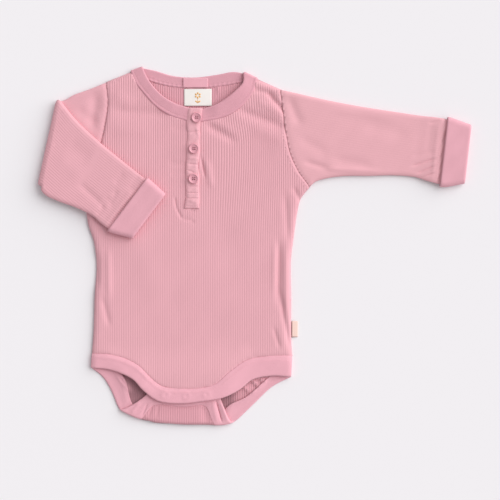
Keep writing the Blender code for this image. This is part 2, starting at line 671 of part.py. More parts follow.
def between(start, end):
    """Evenly spaced points from start to end, both included."""
    return [tuple(p) for p in np.linspace(start, end, RING_FLAT)]


def bowed(armhole, share):
    """How far the armhole stands off its own chord, at each share of the way down."""
    path = smooth_path(armhole, 40)
    at = np.linspace(0.0, 1.0, 40)
    chord = path[0] + (path[-1] - path[0]) * at[:, None]
    away = path - chord
    return np.stack([np.interp(share, at, away[:, k]) for k in range(2)], axis=1)


def place_ring(section, ring, bow, out, swing):
    """A ring's points in space. swing is (centre height, radius) while the sleeve turns over."""
    over = np.array([section.over_x, section.over_y])
    under = np.array([section.under_x, section.under_y])
    width = np.linalg.norm(under - over)
    share = ring[:, 0] / width
    flat = over + (under - over) * share[:, None] + bow(share)
    angle = math.radians(section.turn)
    centre = (section.low + section.high) / 2
    away = ring[:, 1] - centre
    push = -away * math.sin(angle) + (swing[1] * math.sin(angle) if swing else 0.0)
    height = centre + away * math.cos(angle)
    if swing:
        height = swing[0] - swing[1] * math.cos(angle) + away * math.cos(angle)
    return np.column_stack([flat + out * push[:, None], height])


def sleeve_sections(table):
    """The table's sections with smooth ones between them, kept exact at a fold."""
    folds = [i for i in range(len(table) - 1) if table[i].turn != table[i + 1].turn]
    stretches = [table[: folds[0] + 1], table[folds[0] + 1 :]] if folds else [table]
    made = []
    for rows in stretches:
        made += [Section(*r) for r in smooth_path(rows, SLEEVE_STEPS // len(stretches))]
    return [s._replace(low=max(s.low, KNIT / 2), turn=round(s.turn)) for s in made]


def armhole_path(table, armhole):
    """An armhole at the points of its sleeve's first ring, from the shoulder down."""
    start = table[0]
    width = section_width(start)
    ring = flat_ring(width, start.low, start.high)
    share = np.unique(np.round(ring[:, 0] / width, 6))
    over, under = np.array([start.over_x, start.over_y]), np.array([start.under_x, start.under_y])
    return over + (under - over) * share[:, None] + bowed(armhole, share)


def section_width(section):
    return math.dist((section.over_x, section.over_y), (section.under_x, section.under_y))


def sleeve_rings(table, armhole):
    """A sleeve's rings from armhole to wrist, folded where its table turns."""
    sections = sleeve_sections(table)
    first = np.array([sections[0].over_x, sections[0].over_y])
    fold = next((s for a, s in zip(sections, sections[1:]) if a.turn != s.turn), sections[0])
    across = np.array([fold.over_x - fold.under_x, fold.over_y - fold.under_y])
    out = np.array([-across[1], across[0]]) / np.linalg.norm(across)
    rings = []
    for before, here in zip([sections[0], *sections], sections):
        if before.turn != here.turn:
            rings += turned_rings(before, here, out)
        far = np.linalg.norm(np.array([here.over_x, here.over_y]) - first)
        fade = float(1.0 - ease(far / BOW_FADE)) if here.turn == 0 else 0.0
        ring = flat_ring(section_width(here), here.low, here.high)
        rings.append(place_ring(here, ring, lambda s: bowed(armhole, s) * fade, out, None))
    return rings


def turned_rings(before, after, out):
    """The rings that carry a sleeve round its fold."""
    low, high = (before.low + before.high) / 2, (after.low + after.high) / 2
    swing = ((low + high) / 2, (high - low) / 2)
    ring = flat_ring(section_width(before), before.low, before.high)
    steps = 6
    return [
        place_ring(before._replace(turn=180.0 * k / steps), ring, lambda s: 0.0, out, swing)
        for k in range(1, steps)
    ]


def sleeve(name, table, armhole, knit):
    """A flattened tube of rib knit."""
    rings = sleeve_rings(table, armhole)
    faces = grid_faces(len(rings), len(rings[0]), closed=True)
    if table[0].over_x < 0:
        faces = [f[::-1] for f in faces]
    return add_wall(name, np.concatenate(rings), faces, KNIT, knit)


def near_wrist(table, along):
    """The sleeve's section that far back from the wrist."""
    sections = [s for s in sleeve_sections(table) if s.turn == table[-1].turn][::-1]
    rows = np.array(sections)
    run = np.linalg.norm(np.diff(rows[:, :4], axis=0), axis=1) / math.sqrt(2.0)
    at = np.concatenate([[0.0], np.cumsum(run)])
    return Section(*(np.interp(along, at, rows[:, k]) for k in range(rows.shape[1])))


def cuff(name, table, plain):
    """A plain band turned back over the end of its sleeve: round the end from inside, and back outside."""
    last = near_wrist(table, 0.0)
    wrist = np.array([last.over_x - last.under_x, last.over_y - last.under_y])
    onward = np.array([wrist[1], -wrist[0]]) / np.linalg.norm(wrist)
    inward = near_wrist(table, CUFF_REACH)
    onward *= np.sign(onward @ np.array([last.over_x - inward.over_x, last.over_y - inward.over_y]))
    lift = KNIT / 2 + 2 * LAY + CUFF / 2
    stations = []
    for k in range(FOLD_STEPS + 1):
        angle = math.pi * k / FOLD_STEPS
        stations.append((-CUFF_END * math.sin(angle) - 2 * SEAM, lift * (1 - math.cos(angle)) / 2))
    stations += [(CUFF_REACH * k / 4, lift + CUFF_FLARE * k / 4) for k in range(1, 5)]
    rings = []
    for along, grow in stations:
        here = near_wrist(table, max(along, 0.0))
        ring = flat_ring(section_width(here), here.low, here.high, grow)
        shift = onward * max(-along, 0.0)
        ring_in_place = place_ring(here, ring, lambda s: 0.0, np.zeros(2), None)
        ring_in_place[:, :2] += shift
        rings.append(ring_in_place)
    faces = grid_faces(len(rings), len(rings[0]), closed=True)
    if table[0].over_x > 0:
        faces = [f[::-1] for f in faces]
    return add_wall(name, np.concatenate(rings), faces[::-1], CUFF, plain)


# ---------------------------------------------------------------- button stand, buttons, snaps, labels
def placket_strip(name, z, thick, inset, finish):
    """A straight strip of cloth down the opening, following the stand's table."""
    y = np.linspace(PLACKET[0].y, PLACKET[-1].y, 14)
    x = read_table(PLACKET, "x", y)
    half = read_table(PLACKET, "width", y) / 2 - inset
    columns = 4
    across = np.linspace(-1.0, 1.0, columns)
    points = [(x[i] + half[i] * a, y[i], z) for i in range(len(y)) for a in across]
    return add_wall(name, points, [f[::-1] for f in grid_faces(len(y), columns)], thick, finish)


def disc(name, centre, radius, bottom, profile, segments, finish):
    """A turned piece: profile rows are (share of the radius, height above bottom)."""
    mesh = bmesh.new()
    rings = [
        [
            mesh.verts.new(
                (
                    centre.x + radius * r * math.cos(2 * math.pi * k / segments),
                    centre.y + radius * r * math.sin(2 * math.pi * k / segments),
                    bottom + h,
                )
            )
            for k in range(segments)
        ]
        for r, h in profile
    ]
    for low, high in zip(rings, rings[1:]):
        for k in range(segments):
            n = (k + 1) % segments
            mesh.faces.new((low[k], low[n], high[n], high[k]))
    mesh.faces.new(rings[0][::-1])
    mesh.faces.new(rings[-1])
    mesh.verts.index_update()
    vertices = [tuple(v.co) for v in mesh.verts]
    faces = [[v.index for v in f.verts] for f in mesh.faces]
    mesh.free()
    made = add_object(name, vertices, faces, finish)
    made.data.shade_smooth()
    return made


def button(number, centre, finish):
    """A four-hole button with a raised rim, lying on the stand's upper strip."""
    bottom = PLACKET_Z + PLACKET_THICK / 2 + SEAM
    profile = [
        (0.62, 0.0),
        (0.93, 0.35),
        (1.0, 0.9),
        (1.0, 1.6),
        (0.93, BUTTON_THICK),
        (0.8, BUTTON_THICK),
        (0.7, 1.5),
        (0.3, 1.35),
    ]
    made = disc(f"button_{number}", centre, BUTTON_RADIUS, bottom, profile, 24, finish)
    for k in range(4):
        angle = math.pi / 4 + k * math.pi / 2
        step_x, step_y = BUTTON_HOLE_SPREAD * math.cos(angle), BUTTON_HOLE_SPREAD * math.sin(angle)
        place = Centre(centre.x + step_x, centre.y + step_y)
        through = [(1.0, 0.0), (1.0, 4.0)]
        hole = disc(f"hole_{number}_{k}", place, BUTTON_HOLE_RADIUS, bottom - 1.0, through, 8, finish)
        hole.hide_render = True
        hole.display_type = "WIRE"
        cut = made.modifiers.new(f"hole_{k}", "BOOLEAN")
        cut.object = hole
        cut.operation = "DIFFERENCE"
        cut.solver = "EXACT"
    return made


def snap(number, centre, finish):
    """A closed press stud, hidden between the flap's band and the front's."""
    bottom = FLAP_Z + BAND / 2 + SEAM
    profile = [(0.9, 0.0), (1.0, 0.2), (1.0, SNAP_THICK - 0.2), (0.9, SNAP_THICK)]
    return disc(f"snap_{number}", centre, SNAP_RADIUS, bottom, profile, 20, finish)


def patch(name, size, finish, columns=5, rows=4):
    """A small rectangle of tape."""
    points = [
        (x, y, size.z)
        for y in np.linspace(size.bottom, size.top, rows)
        for x in np.linspace(size.left, size.right, columns)
    ]
    return add_wall(name, points, grid_faces(rows, columns), size.thick, finish)


# ---------------------------------------------------------------- the garment
def main():
    for leftover in list(bpy.data.objects):
        bpy.data.objects.remove(leftover, do_unlink=True)
    knit = material("rib_knit", (0.78, 0.41, 0.47), 0.9)
    plain = material("plain_knit", (0.83, 0.44, 0.51), 0.85)
    shell = material("button_shell", (0.76, 0.36, 0.42), 0.35)
    metal = material("snap_plastic", (0.85, 0.5, 0.56), 0.4)
    satin = material("label_satin", (0.92, 0.9, 0.87), 0.5)
    back_panel(knit)
    front_panel(knit)
    sleeve("sleeve_left", SLEEVE_LEFT, ARMHOLE_LEFT, knit)
    sleeve("sleeve_right", SLEEVE_RIGHT, ARMHOLE_RIGHT, knit)
    cuff("cuff_left", SLEEVE_LEFT, plain)
    cuff("cuff_right", SLEEVE_RIGHT, plain)
    neck_band(plain)
    leg_band_front(plain)
    leg_band_back(plain)
    placket_strip("placket_under", FRONT_Z, KNIT, SEAM, plain)
    placket_strip("placket_top", PLACKET_Z, PLACKET_THICK, 0.0, plain)
    patch("neck_tape", NECK_TAPE, plain)
    patch("neck_label", LABEL, satin)
    patch("side_tag", SIDE_TAG, satin, columns=3)
    for number, centre in enumerate(BUTTONS, 1):
        button(number, centre, shell)
    for number, centre in enumerate(SNAPS, 1):
        snap(number, centre, metal)


main()
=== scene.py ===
# %% [markdown]
# # A baby bodysuit, laid out flat
# The bodysuit is rib knit, bound in plain knit at the neck, cuffs and legs. It lies on its back on a pale
# surface with one sleeve straight out and the other folded over its chest. Every piece of cloth starts from
# the shape it was cut to, is laid where it lies, and then gets its ribs and its thickness.

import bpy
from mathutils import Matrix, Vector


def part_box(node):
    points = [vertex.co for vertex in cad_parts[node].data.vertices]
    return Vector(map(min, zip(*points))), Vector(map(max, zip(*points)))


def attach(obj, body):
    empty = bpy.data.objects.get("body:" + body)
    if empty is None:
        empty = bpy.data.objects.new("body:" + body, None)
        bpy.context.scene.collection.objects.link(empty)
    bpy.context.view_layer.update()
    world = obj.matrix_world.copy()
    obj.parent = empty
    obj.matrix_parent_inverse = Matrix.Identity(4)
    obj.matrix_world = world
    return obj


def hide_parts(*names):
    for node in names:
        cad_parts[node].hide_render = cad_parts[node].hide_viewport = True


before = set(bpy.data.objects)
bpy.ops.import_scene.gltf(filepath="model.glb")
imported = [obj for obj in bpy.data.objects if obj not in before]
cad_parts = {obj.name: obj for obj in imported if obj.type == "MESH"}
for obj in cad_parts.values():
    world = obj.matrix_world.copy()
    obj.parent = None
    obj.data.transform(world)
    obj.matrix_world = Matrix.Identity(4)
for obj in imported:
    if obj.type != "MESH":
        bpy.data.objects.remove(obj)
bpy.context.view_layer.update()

# %% [markdown]
# ## Units and driving sizes
# A cutter works in millimetres, so the tables do too, and a mesh becomes metres where it is made. The knit's
# thickness, the bands and the heights of the layers decide nearly everything else.

# %% Modules and driving sizes
import math
from collections import namedtuple

import bmesh
import bpy
import numpy as np
from mathutils import Vector
from mathutils.geometry import delaunay_2d_cdt
from mathutils.kdtree import KDTree

MM = 0.001
KNIT = 1.1  # rib knit's thickness
BAND = 2.0  # a doubled plain band
CUFF = 1.6  # a cuff's turned-back band
SEAM = 0.15  # gap between two pieces sewn edge to edge
UNDER = 1.2  # how far a panel runs under the band that binds it
JOIN = 0.5  # how far a panel and a sleeve share their seam
LAY = 0.4  # gap between layers that lie on each other
RIB = 2.5  # from one rib to the next
RIB_DEPTH = 0.42  # from a rib's top to the groove's bottom
ROW = 3.0  # spacing of a panel's points along the ribs

FRONT_Z = 4.6  # heights are of the middle of a layer
SEAM_Z = KNIT / 2 + KNIT - 0.1  # where the front is sewn to the back
ROLL = 7.0  # how far in from a seam the front takes to rise
NECK_Z = 4.9
SHOULDER_Z = 3.6
FLAP_Z = 3.9  # the folded-up crotch end of the back
CROTCH_RISE = 3.1  # how much higher the front lies over that end
CROTCH_MIDDLE, CROTCH_HALF = -10.0, 62.0  # the x of that end's middle, and half its width
print("rib every", RIB, "mm, knit", KNIT, "mm thick")

# %% [markdown]
# ## Smooth curves from a few points
# A cutter's curve passes through a few marked points. A Hermite curve does the same: each stretch leaves a
# point in the direction that its neighbours give. Points along it are then spaced evenly.


# %% Curves
def hermite(at, knots, slope, where):
    i = np.clip(np.searchsorted(at, where, side="right") - 1, 0, len(at) - 2)
    span = at[i + 1] - at[i]
    t, span = ((where - at[i]) / span)[:, None], span[:, None]
    return (
        knots[i] * (2 * t**3 - 3 * t**2 + 1)
        + slope[i] * span * (t**3 - 2 * t**2 + t)
        + knots[i + 1] * (3 * t**2 - 2 * t**3)
        + slope[i + 1] * span * (t**3 - t**2)
    )


def run_of(line):
    """Distance along a line at each of its points."""
    return np.concatenate([[0.0], np.cumsum(np.linalg.norm(np.diff(line, axis=0), axis=1))])


def evenly(line, count):
    """count points at even distances along a line."""
    run = run_of(line)
    even = np.linspace(0.0, run[-1], count)
    return np.stack([np.interp(even, run, line[:, k]) for k in range(line.shape[1])], axis=1)


def smooth_path(points, spacing):
    """Points about that far apart on a smooth curve through the given ones."""
    knots = np.array([tuple(p) for p in points], float)
    at = run_of(knots)
    fine = hermite(at, knots, np.gradient(knots, at, axis=0), np.linspace(0.0, at[-1], 30 * len(knots)))
    return evenly(fine, max(4, round(run_of(fine)[-1] / spacing) + 1))


def read_table(rows, column, where, key="y"):
    """A table's column as a smooth function of its key column."""
    order = sorted(rows, key=lambda r: getattr(r, key))
    at = np.array([getattr(r, key) for r in order], float)
    values = np.array([[getattr(r, column)] for r in order], float)
    where = np.clip(np.atleast_1d(np.asarray(where, float)), at[0], at[-1])
    return hermite(at, values, np.gradient(values, at, axis=0), where.ravel()).reshape(where.shape)


def ease(x):
    """From 0 to 1, starting and ending gently."""
    x = np.clip(x, 0.0, 1.0)
    return x * x * (3.0 - 2.0 * x)


def bell(x, width, middle=0.0, power=2):
    """1 in the middle, falling to 0 on both sides; a higher power has a flatter top."""
    return np.exp(-(((x - middle) / width) ** power))


def quarter_round(x):
    """From 0 to 1, starting steeply, as a rounded edge does."""
    return np.sqrt(1.0 - (1.0 - np.clip(x, 0.0, 1.0)) ** 2)


def sideways(path, towards, gap):
    """A path moved by gap to the side where the point towards lies."""
    along = np.gradient(path, axis=0)
    normal = np.stack([-along[:, 1], along[:, 0]], axis=1)
    normal /= np.linalg.norm(normal, axis=1, keepdims=True)
    side = np.sign(((np.asarray(towards) - path) * normal).sum(1).mean())
    return path + normal * side * gap


# %% [markdown]
# ## The cut
# These tables hold the outline of each piece as it lies: side seams, armholes, the neck and leg bands and the
# crotch fold. A row is one marked point, with the seam and the free edge side by side for a band.


# %% Outlines
def rows_of(kind, *rows):
    """A table: its columns have the names of that kind of row, in that order."""
    return [kind(*row) for row in rows]


Side = namedtuple("Side", "y right left")
BODY_SIDES = rows_of(
    Side,
    (64.5, -126.0, 127.6),
    (50.0, -121.5, 116.8),
    (36.0, -118.0, 113.3),
    (21.0, -115.5, 111.0),
    (5.0, -110.0, 108.9),
    (-11.0, -107.4, 106.8),
    (-60.0, -108.9, 106.7),
    (-105.0, -110.6, 106.9),
    (-121.0, -112.0, 107.8),
    (-134.5, -112.8, 108.9),
)

Point = namedtuple("Point", "x y")
ARMHOLE_RIGHT = rows_of(
    Point,
    (-95.7, 178.8),
    (-93.6, 158.0),
    (-96.5, 132.0),
    (-102.5, 108.0),
    (-111.5, 86.0),
    (-126.0, 64.5),
)
ARMHOLE_LEFT = rows_of(
    Point,
    (95.7, 170.5),
    (98.5, 148.5),
    (101.2, 126.5),
    (105.6, 104.5),
    (113.3, 84.7),
    (127.6, 64.5),
)

Strip = namedtuple("Strip", "seam_x seam_y edge_x edge_y")
NECK_FRONT_RIGHT = rows_of(
    Strip,
    (-8.0, 135.9, -7.4, 151.2),
    (-26.4, 141.9, -19.5, 155.2),
    (-43.0, 152.8, -33.0, 162.8),
    (-55.5, 166.6, -44.0, 173.6),
    (-64.5, 178.0, -51.2, 184.0),
    (-69.3, 189.3, -55.8, 194.2),
)
NECK_FRONT_LEFT = rows_of(
    Strip,
    (9.9, 135.3, 10.4, 149.6),
    (27.0, 138.3, 23.6, 153.9),
    (42.0, 144.2, 35.5, 161.3),
    (56.0, 155.5, 45.5, 169.5),
    (65.5, 168.0, 53.6, 178.6),
    (69.6, 181.2, 54.2, 188.6),
)
NECK_BACK = rows_of(
    Strip,
    (-69.3, 189.3, -55.8, 194.2),
    (-48.4, 179.6, -43.0, 191.6),
    (-24.0, 173.6, -23.0, 185.8),
    (1.0, 172.2, 1.0, 184.2),
    (26.0, 173.6, 25.0, 187.0),
    (48.4, 177.3, 43.0, 190.2),
    (69.6, 181.2, 54.2, 188.6),
)
LEG_FRONT = rows_of(
    Strip,
    (-112.0, -119.0, -112.8, -134.8),
    (-94.0, -119.8, -95.0, -136.4),
    (-75.9, -124.3, -79.0, -141.2),
    (-61.0, -132.0, -66.5, -147.6),
    (-48.4, -144.1, -55.5, -159.4),
    (-35.5, -154.3, -40.7, -170.4),
    (-15.4, -157.3, -17.0, -173.9),
    (6.0, -157.0, 8.0, -171.6),
    (23.1, -152.4, 31.0, -167.8),
    (40.0, -138.0, 50.0, -159.0),
    (57.0, -126.6, 64.0, -148.2),
    (80.0, -121.8, 84.0, -143.9),
    (107.8, -121.0, 106.5, -145.0),
)

Leg = namedtuple("Leg", "layer edge_x edge_y seam_x seam_y")
LEG_BACK = rows_of(
    Leg,
    ("under", -112.8, -134.8, -112.0, -119.0),
    ("under", -99.5, -146.0, -88.0, -130.5),
    ("under", -91.0, -160.0, -75.0, -149.0),
    ("under", -83.8, -177.0, -69.5, -170.0),
    ("flap", -76.5, -179.4, -54.0, -187.4),
    ("flap", -57.0, -168.2, -44.5, -176.6),
    ("flap", -44.0, -157.6, -37.0, -175.4),
    ("flap", -10.0, -155.6, -11.0, -178.2),
    ("flap", 24.0, -157.6, 9.0, -176.4),
    ("flap", 31.8, -175.0, 14.5, -180.0),
    ("flap", 39.0, -191.5, 19.0, -191.5),
    ("under", 51.0, -189.0, 36.0, -178.0),
    ("under", 68.0, -172.5, 57.5, -166.5),
    ("under", 84.0, -157.2, 77.0, -149.5),
    ("under", 106.5, -145.0, 107.8, -121.0),
)
CROTCH_FOLD = rows_of(
    Point,
    (-84.0, -180.2),
    (-65.0, -189.4),
    (-43.0, -195.4),
    (-18.0, -197.6),
    (10.0, -197.9),
    (34.0, -197.6),
    (48.0, -194.0),
)

Section = namedtuple("Section", "over_x over_y under_x under_y turn low high")
SLEEVE_LEFT = rows_of(
    Section,
    (95.7, 170.5, 127.6, 64.5, 0, 0.55, 4.6),
    (110.0, 167.3, 133.6, 69.6, 0, 0.55, 4.6),
    (132.0, 162.2, 142.0, 72.4, 0, 0.55, 4.5),
    (160.6, 156.2, 161.5, 75.4, 0, 0.55, 4.4),
    (193.6, 150.4, 192.0, 75.9, 0, 0.55, 4.3),
    (226.6, 145.4, 220.0, 76.4, 0, 0.55, 4.3),
    (250.0, 141.9, 243.0, 74.4, 0, 0.9, 4.5),
    (268.0, 139.9, 259.0, 69.4, 0, 2.7, 5.8),
    (281.0, 137.4, 273.0, 66.2, 0, 3.5, 6.3),
    (301.6, 130.4, 294.6, 69.2, 0, 3.5, 6.1),
)
SLEEVE_RIGHT = rows_of(
    Section,
    (-95.7, 178.8, -126.0, 64.5, 0, 0.55, 4.6),
    (-114.4, 171.1, -138.6, 63.8, 0, 0.55, 4.4),
    (-131.0, 165.2, -154.0, 64.6, 0, 0.55, 4.2),
    (-146.3, 158.2, -166.9, 64.3, 0, 0.55, 4.1),
    (-146.3, 158.2, -166.9, 64.3, 180, 5.7, 9.3),
    (-144.9, 156.4, -167.1, 60.3, 180, 5.8, 9.4),
    (-140.0, 150.3, -164.0, 56.0, 180, 6.0, 9.6),
    (-133.0, 141.6, -152.0, 49.4, 180, 6.3, 9.9),
    (-106.7, 115.8, -130.2, 41.3, 180, 6.4, 10.2),
    (-81.4, 94.8, -111.6, 32.2, 180, 6.6, 10.2),
    (-63.5, 80.4, -100.0, 22.6, 180, 7.9, 11.0),
    (-50.6, 70.4, -91.6, 16.6, 180, 8.7, 11.5),
    (-34.0, 55.9, -68.8, 9.7, 180, 8.7, 11.3),
)
CUFF_REACH = 25.0
CUFF_END = 1.8
CUFF_FLARE = 0.6  # how far a cuff's free edge stands off its sleeve

Stand = namedtuple("Stand", "y x width")
PLACKET = rows_of(
    Stand,
    (150.2, 1.4, 16.6),
    (132.0, 0.0, 14.8),
    (105.0, -1.2, 14.2),
    (70.0, -1.6, 14.8),
    (40.0, -2.2, 16.2),
)
PLACKET_THICK = 1.8


def seams(rows):
    return [Point(r.seam_x, r.seam_y) for r in rows]


chest = BODY_SIDES[4]
print("chest", round(chest.left - chest.right, 1), "mm across")

# %% [markdown]
# ## Soft folds
# Knit that is laid down by hand keeps soft troughs and ridges where it was pulled. Each one here is a short
# line with a width and a depth, deepest in its middle and gone at its ends. A negative depth is a ridge.

# %% Folds of the front
Fold = namedtuple("Fold", "x0 y0 x1 y1 width depth")
FRONT_FOLDS = rows_of(
    Fold,
    (9.0, 135.0, 50.0, 112.0, 4.5, 1.6),
    (12.0, 140.0, 46.0, 124.0, 5.0, -0.6),
    (60.0, 173.0, 92.0, 164.0, 3.0, 1.7),
    (78.0, 169.5, 104.0, 142.0, 3.0, 2.4),
    (66.0, 160.0, 100.0, 142.0, 4.5, -0.9),
    (40.0, 152.0, 108.0, 126.0, 5.0, 1.9),
    (60.0, 130.0, 104.0, 112.0, 6.0, -0.6),
    (-96.0, 147.0, -20.0, 144.0, 6.0, 1.4),
    (-98.0, 128.0, -40.0, 124.0, 7.0, -0.6),
    (-90.0, 168.0, -66.0, 150.0, 8.0, -0.7),
    (93.6, 12.0, 92.5, -74.0, 3.4, 1.8),
    (101.5, 10.0, 101.0, -110.0, 3.2, -1.1),
    (89.0, 10.0, 88.0, -60.0, 3.2, -0.6),
    (93.6, -44.0, 106.5, -122.0, 3.0, 1.9),
    (87.0, -88.0, 95.0, -116.0, 2.4, 0.9),
    (-105.0, -5.0, -105.6, -52.0, 2.6, 1.1),
    (-94.0, 2.0, -93.0, -66.0, 3.4, -0.9),
    (-101.0, -54.0, -92.0, -92.0, 3.2, 1.0),
    (108.0, 66.0, 120.0, 42.0, 3.0, 1.1),
    (100.0, 62.0, 104.0, -2.0, 3.4, 1.0),
    (-5.0, 129.5, -26.0, 127.0, 2.2, 0.5),
    (-5.0, 88.5, -30.0, 89.5, 2.4, 0.6),
    (-5.0, 80.5, -28.0, 77.0, 2.4, 0.5),
    (8.0, 98.0, 12.5, 72.0, 1.5, 1.6),
    (14.0, 96.0, 20.0, 60.0, 3.5, -0.9),
    (-21.0, 54.0, -19.0, 38.0, 1.5, 0.8),
    (-20.0, 42.0, -12.0, 27.0, 1.5, 0.9),
    (-15.0, 30.0, 3.0, 25.0, 1.5, 0.8),
    (-112.0, -112.0, -44.0, -154.0, 10.0, -1.3),
    (-92.0, -134.0, -40.0, -166.0, 7.0, -2.2),
    (50.0, -118.0, 98.0, -102.0, 9.0, 0.7),
    (-70.0, 30.0, -34.0, -70.0, 17.0, -0.5),
    (28.0, 50.0, 54.0, -80.0, 18.0, 0.5),
    (-30.0, -40.0, -6.0, -110.0, 15.0, 0.35),
)
FLAP_FOLDS = rows_of(
    Fold,
    (-66.0, -171.0, -80.0, -180.0, 1.6, 1.2),
    (-58.0, -172.0, -70.0, -186.0, 1.8, -0.8),
    (-50.0, -172.0, -58.0, -190.0, 1.3, 0.8),
    (-44.0, -173.0, -50.0, -190.0, 1.3, 0.6),
    (-38.0, -174.0, -41.0, -190.0, 1.4, 0.5),
    (-36.0, -179.0, 16.0, -178.0, 1.8, 0.7),
    (23.5, -168.0, 31.5, -197.0, 1.1, 2.0),
    (29.0, -168.0, 38.0, -197.0, 2.2, -0.9),
    (9.0, -168.0, 16.0, -200.0, 5.0, 1.1),
    (19.5, -168.0, 26.5, -198.0, 2.0, -0.6),
)
BACK_FOLDS = rows_of(
    Fold,
    (60.0, -146.0, 73.0, -156.0, 1.4, -2.0),
    (66.0, -143.0, 80.0, -151.0, 1.3, -1.8),
    (50.0, -152.0, 62.0, -162.0, 1.5, -1.2),
    (44.0, -150.0, 70.0, -163.0, 3.0, -0.9),
    (-86.0, -140.0, -66.0, -164.0, 3.0, -1.1),
    (-80.0, -132.0, -60.0, -150.0, 3.0, -0.7),
    (-60.0, 120.0, -20.0, -40.0, 9.0, -1.0),
    (30.0, 130.0, 56.0, -60.0, 8.0, -1.1),
    (-92.0, 150.0, -60.0, 90.0, 5.0, -1.0),
    (96.0, 140.0, 64.0, 96.0, 5.0, -1.1),
    (-96.0, 10.0, -88.0, -90.0, 4.0, -0.9),
    (96.0, 20.0, 90.0, -96.0, 4.0, -1.0),
    (-3.0, 176.0, -2.0, 165.0, 2.0, -0.7),
    (27.0, 176.0, 26.0, 166.0, 2.0, -0.7),
)
print("folds on the front, flap and back", len(FRONT_FOLDS), len(FLAP_FOLDS), len(BACK_FOLDS))


def fold_depth(folds, x, y):
    """How far the soft folds sink at each point."""
    depth = np.zeros_like(x)
    for f in folds:
        step = np.array([f.x1 - f.x0, f.y1 - f.y0])
        share = ((x - f.x0) * step[0] + (y - f.y0) * step[1]) / (step @ step)
        away = np.hypot(x - f.x0 - share * step[0], y - f.y0 - share * step[1])
        ends = ease(share / 0.3) * ease((1.0 - share) / 0.3)
        depth += f.depth * bell(away, f.width) * ends
    return depth


def ripple(x, y, length, height):
    """Gentle unevenness: three crossing waves of about that length, none in step with another."""
    waves = np.sin(x / length + 0.7 * y / length + 1.3) + np.sin(1.7 * y / length - 0.4 * x / length)
    return height * (waves + np.sin(2.3 * x / length - 1.9 * y / length + 0.5)) / 3.0


def distance_to(points, path):
    """Each point's distance from the nearest point of a finely spaced path."""
    fine = KDTree(len(path))
    for i, (x, y) in enumerate(path):
        fine.insert((x, y, 0.0), i)
    fine.balance()
    return np.array([fine.find((x, y, 0.0))[2] for x, y in points])


def seam_dip(points, path, depth, width=1.8):
    """How far cloth is pulled down along a sewn seam, by its distance from the seam's path."""
    return depth * bell(distance_to(points, path), width)


# %% Heights of the layers
def shoulder_height(x):
    """The y of the shoulder seams at x."""
    right = (NECK_FRONT_RIGHT[-1].seam_x, NECK_FRONT_RIGHT[-1].seam_y, *ARMHOLE_RIGHT[0])
    left = (NECK_FRONT_LEFT[-1].seam_x, NECK_FRONT_LEFT[-1].seam_y, *ARMHOLE_LEFT[0])
    y = np.empty_like(x)
    for (x0, y0, x1, y1), here in ((right, x < 0), (left, x >= 0)):
        y[here] = y0 + (x[here] - x0) * (y1 - y0) / (x1 - x0)
    return y


def front_height(x, y):
    """Middle of the front's cloth, without its small folds: low at its seams, high over the crotch end."""
    from_side = np.minimum(x - read_table(BODY_SIDES, "right", y), read_table(BODY_SIDES, "left", y) - x)
    from_side = np.where(y > BODY_SIDES[0].y, ROLL, from_side)
    from_shoulder = np.where(np.abs(x) > NECK_FRONT_LEFT[-1].edge_x, shoulder_height(x) - y, ROLL)
    inside = np.minimum(from_side, from_shoulder) / ROLL
    height = SEAM_Z + (FRONT_Z - SEAM_Z) * quarter_round(inside)
    over_end = bell(x, CROTCH_HALF, CROTCH_MIDDLE, power=6) * ease((-108.0 - y) / 40.0)
    return height + CROTCH_RISE * over_end


def crotch_turn(x, thick):
    """The crotch fold's radius, and the y where cloth of that thickness starts to turn round it."""
    radius = (FLAP_Z - thick / 2) / 2
    return radius, read_table(CROTCH_FOLD, "y", x, key="x") + radius + thick / 2


def back_place(x, length, thick):
    """Where a point of the back's cut lies once the crotch end is folded up over itself."""
    radius, hinge = crotch_turn(x, thick)
    past = hinge - length
    angle = np.clip(past / radius, 0.0, math.pi)
    y = np.where(past > 0, hinge - radius * np.sin(angle), length)
    y = y + np.maximum(past - math.pi * radius, 0.0)
    return np.stack([x, y, thick / 2 + radius * (1.0 - np.cos(angle))], axis=-1)


def cut_length(x, y, thick):
    """The y in the flat cut of a point that lies at (x, y) on the folded-up flap."""
    radius, hinge = crotch_turn(x, thick)
    return hinge[0] - math.pi * radius - (y - hinge[0])


# %% [markdown]
# ## Knit as it is made: ribs along the cloth
# A rib knit is a row of rounded ribs with narrow grooves between them. A panel's points stand in columns that
# follow the ribs, four to a rib, so that a small tree of geometry nodes can raise each rib by its distance
# across the cloth. That distance is stored on every point, with the distance along the ribs beside it.


# %% Geometry nodes: rib relief
def node_tree(name, inputs, kind="GeometryNodeTree"):
    """A node tree with named inputs; a geometry tree also gets its geometry in and out."""
    tree = bpy.data.node_groups.new(name, kind)
    if kind == "GeometryNodeTree":
        tree.interface.new_socket("Geometry", in_out="INPUT", socket_type="NodeSocketGeometry")
        tree.interface.new_socket("Geometry", in_out="OUTPUT", socket_type="NodeSocketGeometry")
    for label, socket_type, value in inputs:
        socket = tree.interface.new_socket(label, in_out="INPUT", socket_type=socket_type)
        if value is not None:
            socket.default_value = value
    start, end = tree.nodes.new("NodeGroupInput"), tree.nodes.new("NodeGroupOutput")
    return tree, start, end


def add(tree, kind, settings=None, **links):
    """A node with its settings, and values or links for its inputs by name or number.

    Another node may be given as a value: it links from its first socket.
    """
    node = tree.nodes.new(kind)
    for key, value in (settings or {}).items():
        setattr(node, key, value)
    for key, value in links.items():
        where = int(key[1:]) if key[0] == "i" and key[1:].isdigit() else key.replace("_", " ")
        socket = node.inputs[where]
        value = value.outputs[0] if isinstance(value, bpy.types.Node) else value
        if isinstance(value, bpy.types.NodeSocket):
            tree.links.new(value, socket)
        else:
            socket.default_value = value
    return node


